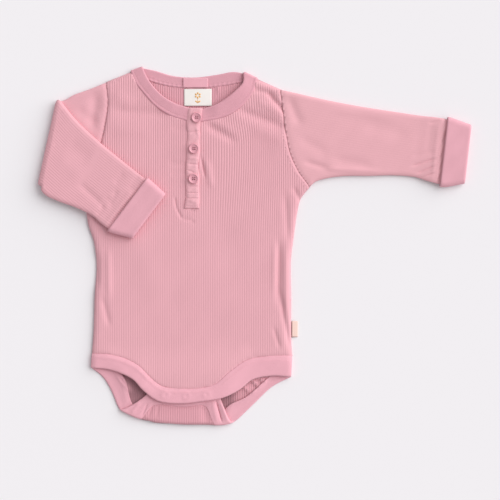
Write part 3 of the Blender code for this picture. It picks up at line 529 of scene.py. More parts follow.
def maths(tree, operation, *values):
    """A Math node's result."""
    links = {f"i{k}": v for k, v in enumerate(values)}
    return add(tree, "ShaderNodeMath", {"operation": operation}, **links).outputs[0]


def finish_tree(tree, made, material, end):
    """Ends a geometry tree with real geometry in its material."""
    plain = add(tree, "GeometryNodeRealizeInstances", Geometry=made)
    painted = add(tree, "GeometryNodeSetMaterial", Geometry=plain, Material=material)
    tree.links.new(painted.outputs[0], end.inputs[0])
    print(tree.name, len(tree.nodes), "nodes")
    return tree


def rib_relief_tree():
    floats = [("Pitch", RIB * MM), ("Depth", RIB_DEPTH * MM), ("Unevenness", 0.35)]
    inputs = [(label, "NodeSocketFloat", value) for label, value in floats]
    inputs.append(("Cloth", "NodeSocketMaterial", None))
    tree, start, end = node_tree("rib relief", inputs)
    cut = add(tree, "GeometryNodeInputNamedAttribute", {"data_type": "FLOAT_VECTOR"}, Name="cut")
    across = add(tree, "ShaderNodeSeparateXYZ", Vector=cut)
    share = maths(tree, "FRACT", maths(tree, "DIVIDE", across.outputs[0], start.outputs["Pitch"]))
    off_top = maths(tree, "MULTIPLY", maths(tree, "ABSOLUTE", maths(tree, "SUBTRACT", share, 0.5)), 2.0)
    rib = maths(tree, "SUBTRACT", 0.5, maths(tree, "POWER", off_top, 3.0))
    place = add(tree, "ShaderNodeCombineXYZ", X=across.outputs[0], Y=across.outputs[1])
    noise = add(tree, "ShaderNodeTexNoise", Vector=place, Scale=90.0, Detail=2.0)
    swing = maths(tree, "SUBTRACT", noise, 0.5)
    uneven = maths(tree, "MULTIPLY", swing, start.outputs["Unevenness"])
    depth = maths(tree, "MULTIPLY", start.outputs["Depth"], maths(tree, "ADD", uneven, 1.0))
    height = maths(tree, "MULTIPLY", maths(tree, "MULTIPLY", rib, depth), across.outputs[2])
    normal = tree.nodes.new("GeometryNodeInputNormal")
    offset = add(tree, "ShaderNodeVectorMath", {"operation": "SCALE"}, i0=normal, Scale=height)
    raised = add(tree, "GeometryNodeSetPosition", Geometry=start.outputs[0], Offset=offset)
    return finish_tree(tree, raised, start.outputs["Cloth"], end)


RIB_RELIEF = rib_relief_tree()


def run_nodes(piece, tree, values):
    """Runs a tree on a piece and keeps its result as a plain mesh."""
    modifier = piece.modifiers.new(tree.name, "NODES")
    modifier.node_group = tree
    for socket in tree.interface.items_tree:
        if socket.item_type == "SOCKET" and socket.in_out == "INPUT" and socket.name in values:
            modifier[socket.identifier] = values[socket.name]
    graph = bpy.context.evaluated_depsgraph_get()
    made = bpy.data.meshes.new_from_object(piece.evaluated_get(graph))
    piece.modifiers.clear()
    old, piece.data = piece.data, made
    bpy.data.meshes.remove(old)
    made.name = piece.name


# %% [markdown]
# ## From a flat cut to cloth
# A panel's outline is filled with triangles between its rib columns. Blender's own Delaunay fill does that in
# about a second for tens of thousands of points, and it keeps the outline's edges exactly.


# %% Filling an outline
RIB_SHARES = (0.0, 0.17, 0.5, 0.83)  # where a rib's columns of points stand
CLEAR = 0.45  # how far inner points keep from the outline
SAME = 0.2  # two points nearer than this are one


def inside_outline(outline, points):
    """Which of the points lie inside the outline, by its crossings to their right."""
    found = np.zeros(len(points), bool)
    for (x0, y0), (x1, y1) in zip(outline, np.roll(outline, -1, axis=0)):
        if y0 == y1:
            continue
        rows = (y0 > points[:, 1]) != (y1 > points[:, 1])
        found ^= rows & (points[:, 0] < x0 + (points[:, 1] - y0) * (x1 - x0) / (y1 - y0))
    return found


def clear_of(outline, points, least):
    """Which of the points keep at least that far from the outline's points and sides."""
    fine = evenly(np.vstack([outline, outline[:1]]), int(run_of(outline)[-1] / (0.8 * least)))
    return distance_to(points, fine) >= least


def rib_columns(low, high):
    first, last = math.floor(low / RIB), math.ceil(high / RIB)
    return np.array([(k + s) * RIB for k in range(first, last) for s in RIB_SHARES])


def filled(outline, inner):
    """Points and triangles that fill an outline, with the inner points that lie well inside."""
    inner = inner[inside_outline(outline, inner)]
    inner = inner[clear_of(outline, inner, CLEAR)]
    points = [Vector(p) for p in np.vstack([outline, inner])]
    made = delaunay_2d_cdt(points, [], [list(range(len(outline)))], 1, 1e-5)
    return np.array([tuple(v) for v in made[0]]), made[2]


def joined(*paths):
    """One closed outline from paths laid end to end, without doubled corners."""
    points = [paths[0][0]]
    for path in paths:
        points += [p for p in path if np.linalg.norm(p - points[-1]) > SAME]
    if np.linalg.norm(points[0] - points[-1]) < SAME:
        points.pop()
    return np.array(points)


def outline_area(outline):
    """A closed outline's area in square metres."""
    x, y = np.asarray(outline).T
    return abs((x * np.roll(y, -1) - np.roll(x, -1) * y).sum()) / 2 * MM * MM


def clean(path):
    """The path without points that lie too near the first one."""
    keep = [path[0]]
    keep += [p for p in path[1:] if np.linalg.norm(p - keep[-1]) > SAME]
    return np.array(keep)


# %% Making a piece
def add_piece(name, vertices, faces, finish, cut=None, ribs=1.0):
    """A mesh object from points in millimetres.

    cut holds each point's place across and along the knit, and ribs how fully its ribs stand up.
    """
    mesh = bpy.data.meshes.new(name)
    mesh.from_pydata(np.asarray(vertices, float) * MM, [], [list(map(int, f)) for f in faces])
    mesh.materials.append(finish)
    if cut is not None:
        store = mesh.attributes.new("cut", "FLOAT_VECTOR", "POINT")
        flat = np.zeros((len(vertices), 3), np.float32)
        flat[:, :2] = np.asarray(cut) * MM
        flat[:, 2] = ribs
        store.data.foreach_set("vector", flat.ravel())
    piece = bpy.data.objects.new(name, mesh)
    bpy.context.scene.collection.objects.link(piece)
    mesh.shade_smooth()
    return piece


def mend(piece, within=0.0, closed=True):
    """Joins points that lie that near each other and turns the faces one way, outwards on a closed piece."""
    mesh = bmesh.new()
    mesh.from_mesh(piece.data)
    if within:
        bmesh.ops.remove_doubles(mesh, verts=mesh.verts, dist=within * MM)
    bmesh.ops.recalc_face_normals(mesh, faces=mesh.faces)
    if closed and mesh.calc_volume(signed=True) < 0:
        bmesh.ops.reverse_faces(mesh, faces=mesh.faces)
    mesh.to_mesh(piece.data)
    mesh.free()


def thicken(piece, thick):
    solid = piece.modifiers.new("thickness", "SOLIDIFY")
    solid.thickness = thick * MM
    solid.offset = 0.0
    bpy.context.view_layer.objects.active = piece
    bpy.ops.object.modifier_apply(modifier=solid.name)


def rib_cloth(name, placed, faces, cut, finish, ribs=1.0, closed=False):
    """Rib knit: the laid sheet, sewn up where it is a tube, then its ribs raised and its thickness."""
    piece = add_piece(name, placed, faces, finish, cut, ribs)
    if closed:
        mend(piece, within=0.02, closed=False)
    run_nodes(piece, RIB_RELIEF, {"Cloth": finish})
    thicken(piece, KNIT)
    print(name, len(piece.data.polygons), "faces")
    return piece


def shell(name, middle, half, finish, cut, closed=False):
    """A closed wall round a middle surface given as a grid, with half its thickness at each point.

    An open strip's long edges come to a rounded end. So do the two ends of a strip closed into a tube.
    """
    columns = middle.shape[1]
    along = np.gradient(middle, axis=0)
    across = np.gradient(middle, axis=1)
    if closed:
        across = (np.roll(middle, -1, axis=1) - np.roll(middle, 1, axis=1)) / 2
    normal = np.cross(along, across)
    normal /= np.maximum(np.linalg.norm(normal, axis=2, keepdims=True), 1e-9)
    upper, lower = middle + normal * half[..., None], middle - normal * half[..., None]
    if closed:
        grid = np.concatenate([upper, lower[-2:0:-1]], axis=0)
        cut_grid = np.concatenate([cut, cut[-2:0:-1]], axis=0)
    else:
        grid = np.concatenate([upper, lower[:, -2:0:-1]], axis=1)
        cut_grid = np.concatenate([cut, cut[:, -2:0:-1]], axis=1)
    count, ring = grid.shape[:2]
    number = np.arange(count * ring).reshape(count, ring)
    turned = np.roll(number, -1, axis=1)
    below, below_turned = np.roll(number, -1, axis=0), np.roll(turned, -1, axis=0)
    last = count if closed else count - 1
    faces = np.stack([number, turned, below_turned, below], axis=-1)[:last].reshape(-1, 4).tolist()
    if not closed:
        for end, turn in ((number[0], 1), (number[-1], -1)):
            top = end[:columns]
            bottom = np.concatenate([end[:1], end[: columns - 1 : -1], top[-1:]])
            for k in range(columns - 1):
                corners = dict.fromkeys((top[k], top[k + 1], bottom[k + 1], bottom[k]))
                faces.append(list(corners)[::turn])
    piece = add_piece(name, grid.reshape(-1, 3), faces, finish, cut_grid.reshape(-1, 2))
    mend(piece, within=0.001)
    print(name, len(piece.data.polygons), "faces")
    return piece


def rounded(shares, ends=0.12):
    """A strip's half-thickness profile: full in the middle and round at both long edges."""
    return quarter_round(np.minimum(shares, 1.0 - shares) / ends)


# %% [markdown]
# ## Finishes
# Both knits are matt cotton with a faint bloom of loose fibre, so each has a high roughness and a little
# sheen. One node group draws the loops of the knit from the same stored distances that place the ribs, and
# another makes the colour uneven, as dyed cotton is.


# %% Shader groups: loops and tone
def loops_group():
    inputs = [("Cut", "NodeSocketVector", None)]
    inputs += [("Wale", "NodeSocketFloat", 0.9 * MM), ("Course", "NodeSocketFloat", 0.7 * MM)]
    tree, start, end = node_tree("knit loops", inputs, "ShaderNodeTree")
    tree.interface.new_socket("Height", in_out="OUTPUT", socket_type="NodeSocketFloat")
    place = add(tree, "ShaderNodeSeparateXYZ", Vector=start.outputs["Cut"])
    wale = maths(tree, "DIVIDE", place.outputs[0], start.outputs["Wale"])
    course = maths(tree, "DIVIDE", place.outputs[1], start.outputs["Course"])
    leg = maths(tree, "ABSOLUTE", maths(tree, "SUBTRACT", maths(tree, "FRACT", wale), 0.5))
    slanted = maths(tree, "ADD", course, maths(tree, "MULTIPLY", leg, 1.2))
    strand = maths(tree, "ABSOLUTE", maths(tree, "SINE", maths(tree, "MULTIPLY", slanted, math.pi)))
    column = maths(tree, "ABSOLUTE", maths(tree, "SINE", maths(tree, "MULTIPLY", wale, math.pi)))
    height = maths(tree, "MULTIPLY", strand, maths(tree, "POWER", column, 0.5))
    tree.links.new(height, end.inputs["Height"])
    return tree


def tone_group():
    inputs = [("Colour", "NodeSocketColor", None), ("Unevenness", "NodeSocketFloat", 0.06)]
    tree, start, end = node_tree("dyed cotton tone", inputs, "ShaderNodeTree")
    tree.interface.new_socket("Colour", in_out="OUTPUT", socket_type="NodeSocketColor")
    place = add(tree, "ShaderNodeTexCoord").outputs["Object"]
    cloudy = add(tree, "ShaderNodeTexNoise", Vector=place, Scale=22.0, Detail=3.0)
    heather = add(tree, "ShaderNodeTexNoise", Vector=place, Scale=900.0, Detail=2.0)
    both = maths(tree, "ADD", cloudy, maths(tree, "MULTIPLY", heather, 0.6))
    swing = maths(tree, "MULTIPLY", maths(tree, "SUBTRACT", both, 0.8), start.outputs["Unevenness"])
    level = maths(tree, "ADD", swing, 1.0)
    toned = add(tree, "ShaderNodeVectorMath", {"operation": "SCALE"}, i0=start.outputs["Colour"], Scale=level)
    tree.links.new(toned.outputs[0], end.inputs["Colour"])
    return tree


LOOPS, TONE = loops_group(), tone_group()
print("shader groups", LOOPS.name, "and", TONE.name)


# %% Materials
Limit = namedtuple("Limit", "axis none full")
# Limits of the painted shade low inside the crotch: along an axis, no shade at none and full shade at full.
CROTCH_SHADE_LIMITS = rows_of(
    Limit,
    (2, 0.0033, 0.0015),
    (1, -0.125, -0.150),
    (0, 0.050, 0.040),
)


def painted_crotch_shade(tree, colour, depth):
    """The colour with painted shade: darker by that share where the cloth lies low inside the crotch, where
    shadow falls.
    """
    place = add(tree, "ShaderNodeSeparateXYZ", Vector=add(tree, "ShaderNodeTexCoord").outputs["Object"])
    shares = []
    for r in CROTCH_SHADE_LIMITS:
        limits = {"From_Min": r.none, "From_Max": r.full}
        shares.append(add(tree, "ShaderNodeMapRange", Value=place.outputs[r.axis], **limits).outputs[0])
    low, behind, beside = shares
    inside = maths(tree, "MULTIPLY", low, maths(tree, "MULTIPLY", behind, beside))
    level = maths(tree, "SUBTRACT", 1.0, maths(tree, "MULTIPLY", inside, depth))
    return add(tree, "ShaderNodeVectorMath", {"operation": "SCALE"}, i0=colour, Scale=level).outputs[0]


def toned_material(name, colour, unevenness, **settings):
    """A material whose colour is toned, with plain settings on the shader's own sockets."""
    made = bpy.data.materials.new(name)
    made.use_nodes = True
    tree = made.node_tree
    shader = tree.nodes["Principled BSDF"]
    for socket, value in settings.items():
        shader.inputs[socket.replace("_", " ")].default_value = value
    tone = add(tree, "ShaderNodeGroup", {"node_tree": TONE}, Colour=(*colour, 1.0), Unevenness=unevenness)
    return made, tree, shader, tone.outputs[0]


def knit_material(name, colour, wale, course, bump, inside=0.0):
    """Matt cotton knit: toned colour, loops as a bump, and a little sheen."""
    sheen = {"Sheen_Weight": 0.18, "Sheen_Roughness": 0.5}
    made, tree, shader, toned = toned_material(
        name, colour, 0.08, Roughness=0.92, Specular_IOR_Level=0.25, **sheen
    )
    # inside gives the share of painted shade low inside the crotch.
    toned = painted_crotch_shade(tree, toned, inside) if inside else toned
    tree.links.new(toned, shader.inputs["Base Color"])
    cut = add(tree, "ShaderNodeAttribute", {"attribute_name": "cut"}).outputs["Vector"]
    loops = add(tree, "ShaderNodeGroup", {"node_tree": LOOPS}, Cut=cut, Wale=wale * MM, Course=course * MM)
    relief = add(tree, "ShaderNodeBump", Strength=bump, Distance=0.0003, Height=loops)
    tree.links.new(relief.outputs[0], shader.inputs["Normal"])
    return made


RIB_LOOPS = {"wale": RIB / 2, "course": 0.9, "bump": 0.25}
PLAIN_LOOPS = {"wale": 0.85, "course": 0.65, "bump": 0.35}
RIB_KNIT = knit_material("rib knit", (0.785, 0.41, 0.46), **RIB_LOOPS)
PLAIN_KNIT = knit_material("plain knit", (0.84, 0.43, 0.50), **PLAIN_LOOPS)
# A darker copy of the plain knit for the cuffs: painted shade.
CUFF_KNIT = knit_material("cuff knit", (0.78, 0.40, 0.465), **PLAIN_LOOPS)
STAND_KNIT = knit_material("stand knit", (0.82, 0.435, 0.485), **PLAIN_LOOPS)
# A darker copy of the plain knit for the neck band: painted shade.
NECK_KNIT = knit_material("neck knit", (0.74, 0.365, 0.43), **PLAIN_LOOPS)
# A darker copy of the rib knit for the back, whose showing parts lie in shade: painted shade, and inside=0.45
# adds painted shade low inside the crotch.
FLAP_KNIT = knit_material("back rib knit", (0.735, 0.36, 0.415), **RIB_LOOPS, inside=0.45)
# A lighter copy of the rib knit for the straight sleeve: painted light.
SLEEVE_KNIT = knit_material("sleeve rib knit", (0.81, 0.43, 0.475), **RIB_LOOPS)


def smooth_material(name, colour, roughness, sheen=0.0):
    """Thread, tape, print or moulded plastic: the same tone group, without the loops."""
    made, tree, shader, toned = toned_material(name, colour, 0.04, Roughness=roughness, Sheen_Weight=sheen)
    tree.links.new(toned, shader.inputs["Base Color"])
    place = add(tree, "ShaderNodeTexCoord").outputs["Object"]
    grain = add(tree, "ShaderNodeTexNoise", Vector=place, Scale=1400.0, Detail=3.0)
    relief = add(tree, "ShaderNodeBump", Strength=0.2, Distance=0.0002, Height=grain)
    tree.links.new(relief.outputs[0], shader.inputs["Normal"])
    return made


THREAD = smooth_material("sewing thread", (0.83, 0.47, 0.52), roughness=0.6, sheen=0.1)
BUTTON = smooth_material("moulded button", (0.73, 0.345, 0.405), roughness=0.38)
BUTTON_THREAD = smooth_material("button thread", (0.60, 0.26, 0.32), roughness=0.6, sheen=0.1)
TAPE = smooth_material("peach tape", (0.90, 0.66, 0.58), roughness=0.75, sheen=0.1)
SATIN = smooth_material("label satin", (0.90, 0.86, 0.82), roughness=0.45, sheen=0.2)
WOVEN_MOTIF = smooth_material("woven motif", (0.88, 0.50, 0.18), roughness=0.6)
SNAP = smooth_material("press stud", (0.80, 0.45, 0.50), roughness=0.4)
print("materials", len(bpy.data.materials))

# %% [markdown]
# ## The front
# One panel from neck to leg band, cut with its ribs up and down. It is pulled down to the back at its side
# and shoulder seams and rises over the folded crotch. The button stand fills a slot cut down its middle.


# %% Front
EDGE = 1.6  # spacing of points along a panel's outline
MIDDLE = (0.0, 0.0)
WIDEST = 135.0  # how far out a panel's ribs may stand
TOP = 192.0  # above both panels
TUCK = 0.9  # how far the front runs in under the stand round its slot
SLOT_TOP = 135.0
OVER_DIP, UNDER_DIP = 0.7, 1.9  # how far the upper and the lower piece of an armhole seam are pulled down
HEAD_LAP = 0.8  # how far a sleeve's head runs in from its armhole
HEAD_DIP = 1.4  # how far the front is pulled down where a sleeve's head lies over it
BESIDE_SEAM = (0.6, 1.5, 2.5, 3.6)  # extra lines of points that keep the left armhole's dip smooth
LEAN = 4.5  # how far the ribs lean out on the left of the chest


def moved(points, gap, spacing=EDGE):
    """A smooth path through the points, moved by gap towards the garment's middle."""
    return sideways(smooth_path(points, spacing), MIDDLE, gap)


def side_path(column, bottom):
    rows = [Point(getattr(r, column), r.y - SEAM) for r in BODY_SIDES if r.y > bottom + 1.0]
    rows.append(Point(float(read_table(BODY_SIDES, column, bottom)[0]), bottom))
    return moved(rows, SEAM)


def crossings(columns, rows):
    """Every column's point on every row, as a list of (x, y)."""
    x, y = np.meshgrid(columns, rows)
    return np.column_stack([x.ravel(), y.ravel()])


def panel_grid(low):
    return crossings(rib_columns(-WIDEST, WIDEST), np.arange(low, TOP, ROW))


def slot_side(side):
    """One side of the slot for the button stand, from its top down."""
    foot = PLACKET[-1].y + TUCK
    rows = [Point(r.x + side * r.width / 2 - side * TUCK, max(r.y, foot)) for r in PLACKET[1:]]
    return smooth_path([Point(rows[0].x, SLOT_TOP), *rows[1:]], EDGE)


front_outline = joined(
    moved(seams(NECK_FRONT_RIGHT), -UNDER)[::-1],
    slot_side(-1),
    slot_side(1)[::-1],
    moved(seams(NECK_FRONT_LEFT), -UNDER),
    moved(ARMHOLE_LEFT, -JOIN, EDGE / 2),
    side_path("left", LEG_FRONT[-1].seam_y + SEAM),
    moved(seams(LEG_FRONT), -UNDER)[::-1],
    side_path("right", LEG_FRONT[0].seam_y + SEAM)[::-1],
    moved(ARMHOLE_RIGHT, -JOIN, EDGE / 2)[::-1],
)
beside_seam = [moved(ARMHOLE_LEFT, gap, 1.0) for gap in BESIDE_SEAM]
flat, faces = filled(front_outline[::-1], np.vstack([panel_grid(-160.0), *beside_seam]))
ARMHOLES = np.vstack([smooth_path(ARMHOLE_LEFT, 0.8), smooth_path(ARMHOLE_RIGHT, 0.8)])
x, y = flat.T
from_edge = distance_to(flat, evenly(np.vstack([front_outline, front_outline[:1]]), 1400))
askew = ease(from_edge / 35.0) * bell(x, 38.0, 50.0) * ease((y + 10.0) / 110.0)
x = x + LEAN * askew
height = front_height(x, y) - fold_depth(FRONT_FOLDS, x, y)
armhole_dip = np.where(x > 0, HEAD_DIP, OVER_DIP)
height += ripple(x, y, length=13.0, height=0.22) - seam_dip(flat, ARMHOLES, armhole_dip)
height -= seam_dip(flat, moved(seams(LEG_FRONT), -UNDER, 0.8), 1.0, width=1.2)
height = np.maximum(height, SEAM_Z)
front_ribs = (0.5 + 0.5 * ease((y + 20.0) / 150.0)) * (0.15 + 0.85 * ease(from_edge / 2.5))
front_ribs *= 0.15 + 0.85 * ease((distance_to(flat, ARMHOLES) - HEAD_LAP) / 2.2)
front = rib_cloth("front_cloth", np.column_stack([x, y, height]), faces, flat, RIB_KNIT, front_ribs)

# %% [markdown]
# ## The back
# The back is cut longer than the front. Its crotch end is folded up over itself and lies under the front, so
# the panel is filled flat and then laid round the fold.


# %% Back
BAND_STEP = 1.2  # spacing of a band's rows


def leg_band_path():
    """The back leg band's free edge and seam in the flat cut."""
    rows = []
    for r in LEG_BACK:
        edge_y, seam_y = r.edge_y, r.seam_y
        if r.layer == "flap":
            edge_y, seam_y = cut_length(r.edge_x, r.edge_y, BAND), cut_length(r.seam_x, r.seam_y, BAND)
        rows.append((r.edge_x, edge_y, r.seam_x, seam_y))
    return smooth_path(rows, BAND_STEP)


def inner_folds(placed):
    """The soft folds of the back's own layer, which only rise, and those of the flap above it."""
    x, y, z = placed.T
    on_flap = ease((z - FLAP_Z / 2) / (FLAP_Z / 2 - 0.3))
    below = np.minimum(fold_depth(BACK_FOLDS, x, y), 0.0)
    return fold_depth(FLAP_FOLDS, x, y) * on_flap + below * (1.0 - on_flap)


band_rows = leg_band_path()
back_outline = joined(
    moved(seams(NECK_BACK), -UNDER),
    moved(ARMHOLE_LEFT, -JOIN),
    side_path("left", LEG_BACK[-1].seam_y + SEAM),
    clean(sideways(band_rows[:, 2:], MIDDLE, -UNDER))[::-1],
    side_path("right", LEG_BACK[0].seam_y + SEAM)[::-1],
    moved(ARMHOLE_RIGHT, -JOIN)[::-1],
)
flat, faces = filled(back_outline[::-1], panel_grid(-250.0))
placed = back_place(flat[:, 0], flat[:, 1], KNIT + RIB_DEPTH)
placed[:, 2] -= inner_folds(placed)
back = rib_cloth("back_cloth", placed, faces, flat, FLAP_KNIT)

# %% [markdown]
# ## Leg bands
# Each leg opening is bound with plain knit, doubled over its raw edge, so the band is thicker than the panels
# and soft along its free edge.


# %% Leg bands
across = np.linspace(0.0, 1.0, 25)  # shares of a band's width, from its seam to its free edge
BAND_PROFILE = rounded(across) + 0.2 * bell(across, 0.05, 0.13) - 0.16 * bell(across, 0.05, 0.25)
SOFT_SEAM = (1.0 - ease(across / 0.3)) * np.minimum(across / 0.04, 1.0)
LEG_PROFILE = quarter_round(across / 0.05) * quarter_round((1.0 - across) / 0.12)
LEG_PROFILE -= 0.08 * bell(across, 0.05, 0.4)
BAND_CUT = 17.0  # a leg band's width along its knit
ROLLED_UP = 2.3  # how far the back leg band's seam rises beside the crotch


def node_box(node):
    """A CAD node's lowest and highest corners in millimetres."""
    return (np.array(corner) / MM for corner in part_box(node))


def strip(seam, edge):
    """A grid of (x, y) from a seam to a free edge."""
    share = across[None, :, None]
    return seam[:, None, :] * (1 - share) + edge[:, None, :] * share


def band_shell(name, middle, profile, width, finish):
    """A doubled band from its middle surface; its knit runs across by width and along by one a row."""
    half = np.tile(profile * BAND / 2, (len(middle), 1))
    cut = np.stack(np.meshgrid(across * width, np.arange(len(middle)) * 1.0), axis=-1)
    return shell(name, middle, half, finish, cut)


pair = smooth_path(LEG_FRONT, BAND_STEP)
flat = strip(pair[:, :2], pair[:, 2:])
x, y = flat[..., 0], flat[..., 1]
height = front_height(x, y) + (BAND - KNIT) / 2
height -= (1.0 - 0.4 * ease(across / 0.5)) * fold_depth(FRONT_FOLDS, x, y)
height -= 0.5 * (1.0 - ease(across / 0.35))
for snap in ("snap_1", "snap_2", "snap_3"):
    low_corner, high_corner = node_box(snap)
    centre = (low_corner + high_corner) / 2
    away = np.hypot(x - centre[0], y - centre[1])
    height += 0.4 * bell(away, 5.0, power=4) - 0.35 * bell(away, 2.2)
height = np.maximum(height + ripple(x, y, length=6.0, height=0.2), BAND * 1.5 + 0.1)
middle = np.dstack([flat, height])
leg_front = band_shell("leg_band_front_cloth", middle, LEG_PROFILE - 0.4 * SOFT_SEAM, BAND_CUT, PLAIN_KNIT)

flat = strip(band_rows[:, 2:], band_rows[:, :2])
placed = back_place(flat[..., 0], flat[..., 1], BAND)
placed[..., 2] -= inner_folds(placed.reshape(-1, 3)).reshape(placed.shape[:2])
x, flat_layer = placed[..., 0], placed[..., 2] < FLAP_Z / 2
rolled = ease((x - 30.0) / 12.0) * ease((86.0 - x) / 14.0)
rolled = rolled + 0.6 * ease((x + 92.0) / 8.0) * ease((-70.0 - x) / 8.0)
placed[..., 2] += ROLLED_UP * rolled * flat_layer * (1.0 - ease(across / 0.7))
leg_back = band_shell("leg_band_back_cloth", placed, LEG_PROFILE - 0.1 * SOFT_SEAM, BAND_CUT, PLAIN_KNIT)

# %% [markdown]
# ## Neck band
# The neck is bound with one plain band. It starts at the button stand, folds over each shoulder and runs
# round the back, where its inside shows.


# %% Neck band
def neck_slope(rows):
    return NECK_Z + (SHOULDER_Z - NECK_Z) * ease((np.linspace(0.0, 1.0, len(rows)) - 0.7) / 0.3)


def shoulder_turn(row, radius, low):
    """Rows that carry the band round its fold at the shoulder, from the front down to the back."""
    seam, edge = row[:2], row[2:]
    along = edge - seam
    out = np.array([-along[1], along[0]]) / np.linalg.norm(along)
    out = out * np.sign(out[1])
    made = []
    for angle in np.linspace(0.0, math.pi, 13)[1:]:
        push = out * radius * math.sin(angle)
        made.append((*(seam + push), *(edge + push), low + radius * (1 + math.cos(angle))))
    return np.array(made)


STAND_LAP = 5.0  # how far the band runs in under the button stand


def run_in(rows):
    """A few more rows at the stand, so that the band ends under it."""
    step = (rows[0] - rows[3]) / np.linalg.norm(rows[0, :2] - rows[3, :2])
    return np.vstack([rows[0] + step * (STAND_LAP * share) for share in (1.0, 0.6, 0.3)] + [rows])


low = BAND / 2
radius = (SHOULDER_Z - low) / 2
right, rear, left = (smooth_path(t, BAND_STEP) for t in (NECK_FRONT_RIGHT, NECK_BACK, NECK_FRONT_LEFT))
right, left = run_in(right), run_in(left)
neck_rows = np.vstack([
    np.column_stack([right, neck_slope(right)]),
    shoulder_turn(right[-1], radius, low),
    np.column_stack([rear[1:-1], np.full(len(rear) - 2, low)]),
    shoulder_turn(left[-1], radius, low)[::-1],
    np.column_stack([left, neck_slope(left)])[::-1],
])
flat = strip(neck_rows[:, :2], neck_rows[:, 2:4])
x, y = flat[..., 0], flat[..., 1]
height = np.repeat(neck_rows[:, 4:5], len(across), axis=1)
on_back = height < BAND
stands = np.clip((height - BAND) / (SHOULDER_Z - BAND), 0.0, 1.0) * ease((np.abs(x) - 12.0) / 15.0)
height = height + stands * np.where(x > 0, 1.8, 0.8) * ease(across) + ripple(x, y, 5.0, 0.25) * ~on_back
height += on_back * 0.45 * bell(across, 0.2, 0.1) * np.sin(x / 1.6) ** 8
neck = band_shell("neck_band_cloth", np.dstack([flat, height]), BAND_PROFILE, 15.0, NECK_KNIT)

# %% [markdown]
# ## Sleeves
# A sleeve is one piece of cloth with its ribs along the arm, sewn into a tube under the arm and pressed flat.
# It is filled as that flat piece, with its middle along the tube's over edge. Then each point is laid: round
# the over edge, round the under edge and, for the folded sleeve, over the elbow's fold as well.

# %% A sleeve's edges
EDGE_REACH = 5.0  # how far in from a tube's edge its wall takes to lie flat
EDGE_ARC = 5.9  # the same along the cloth


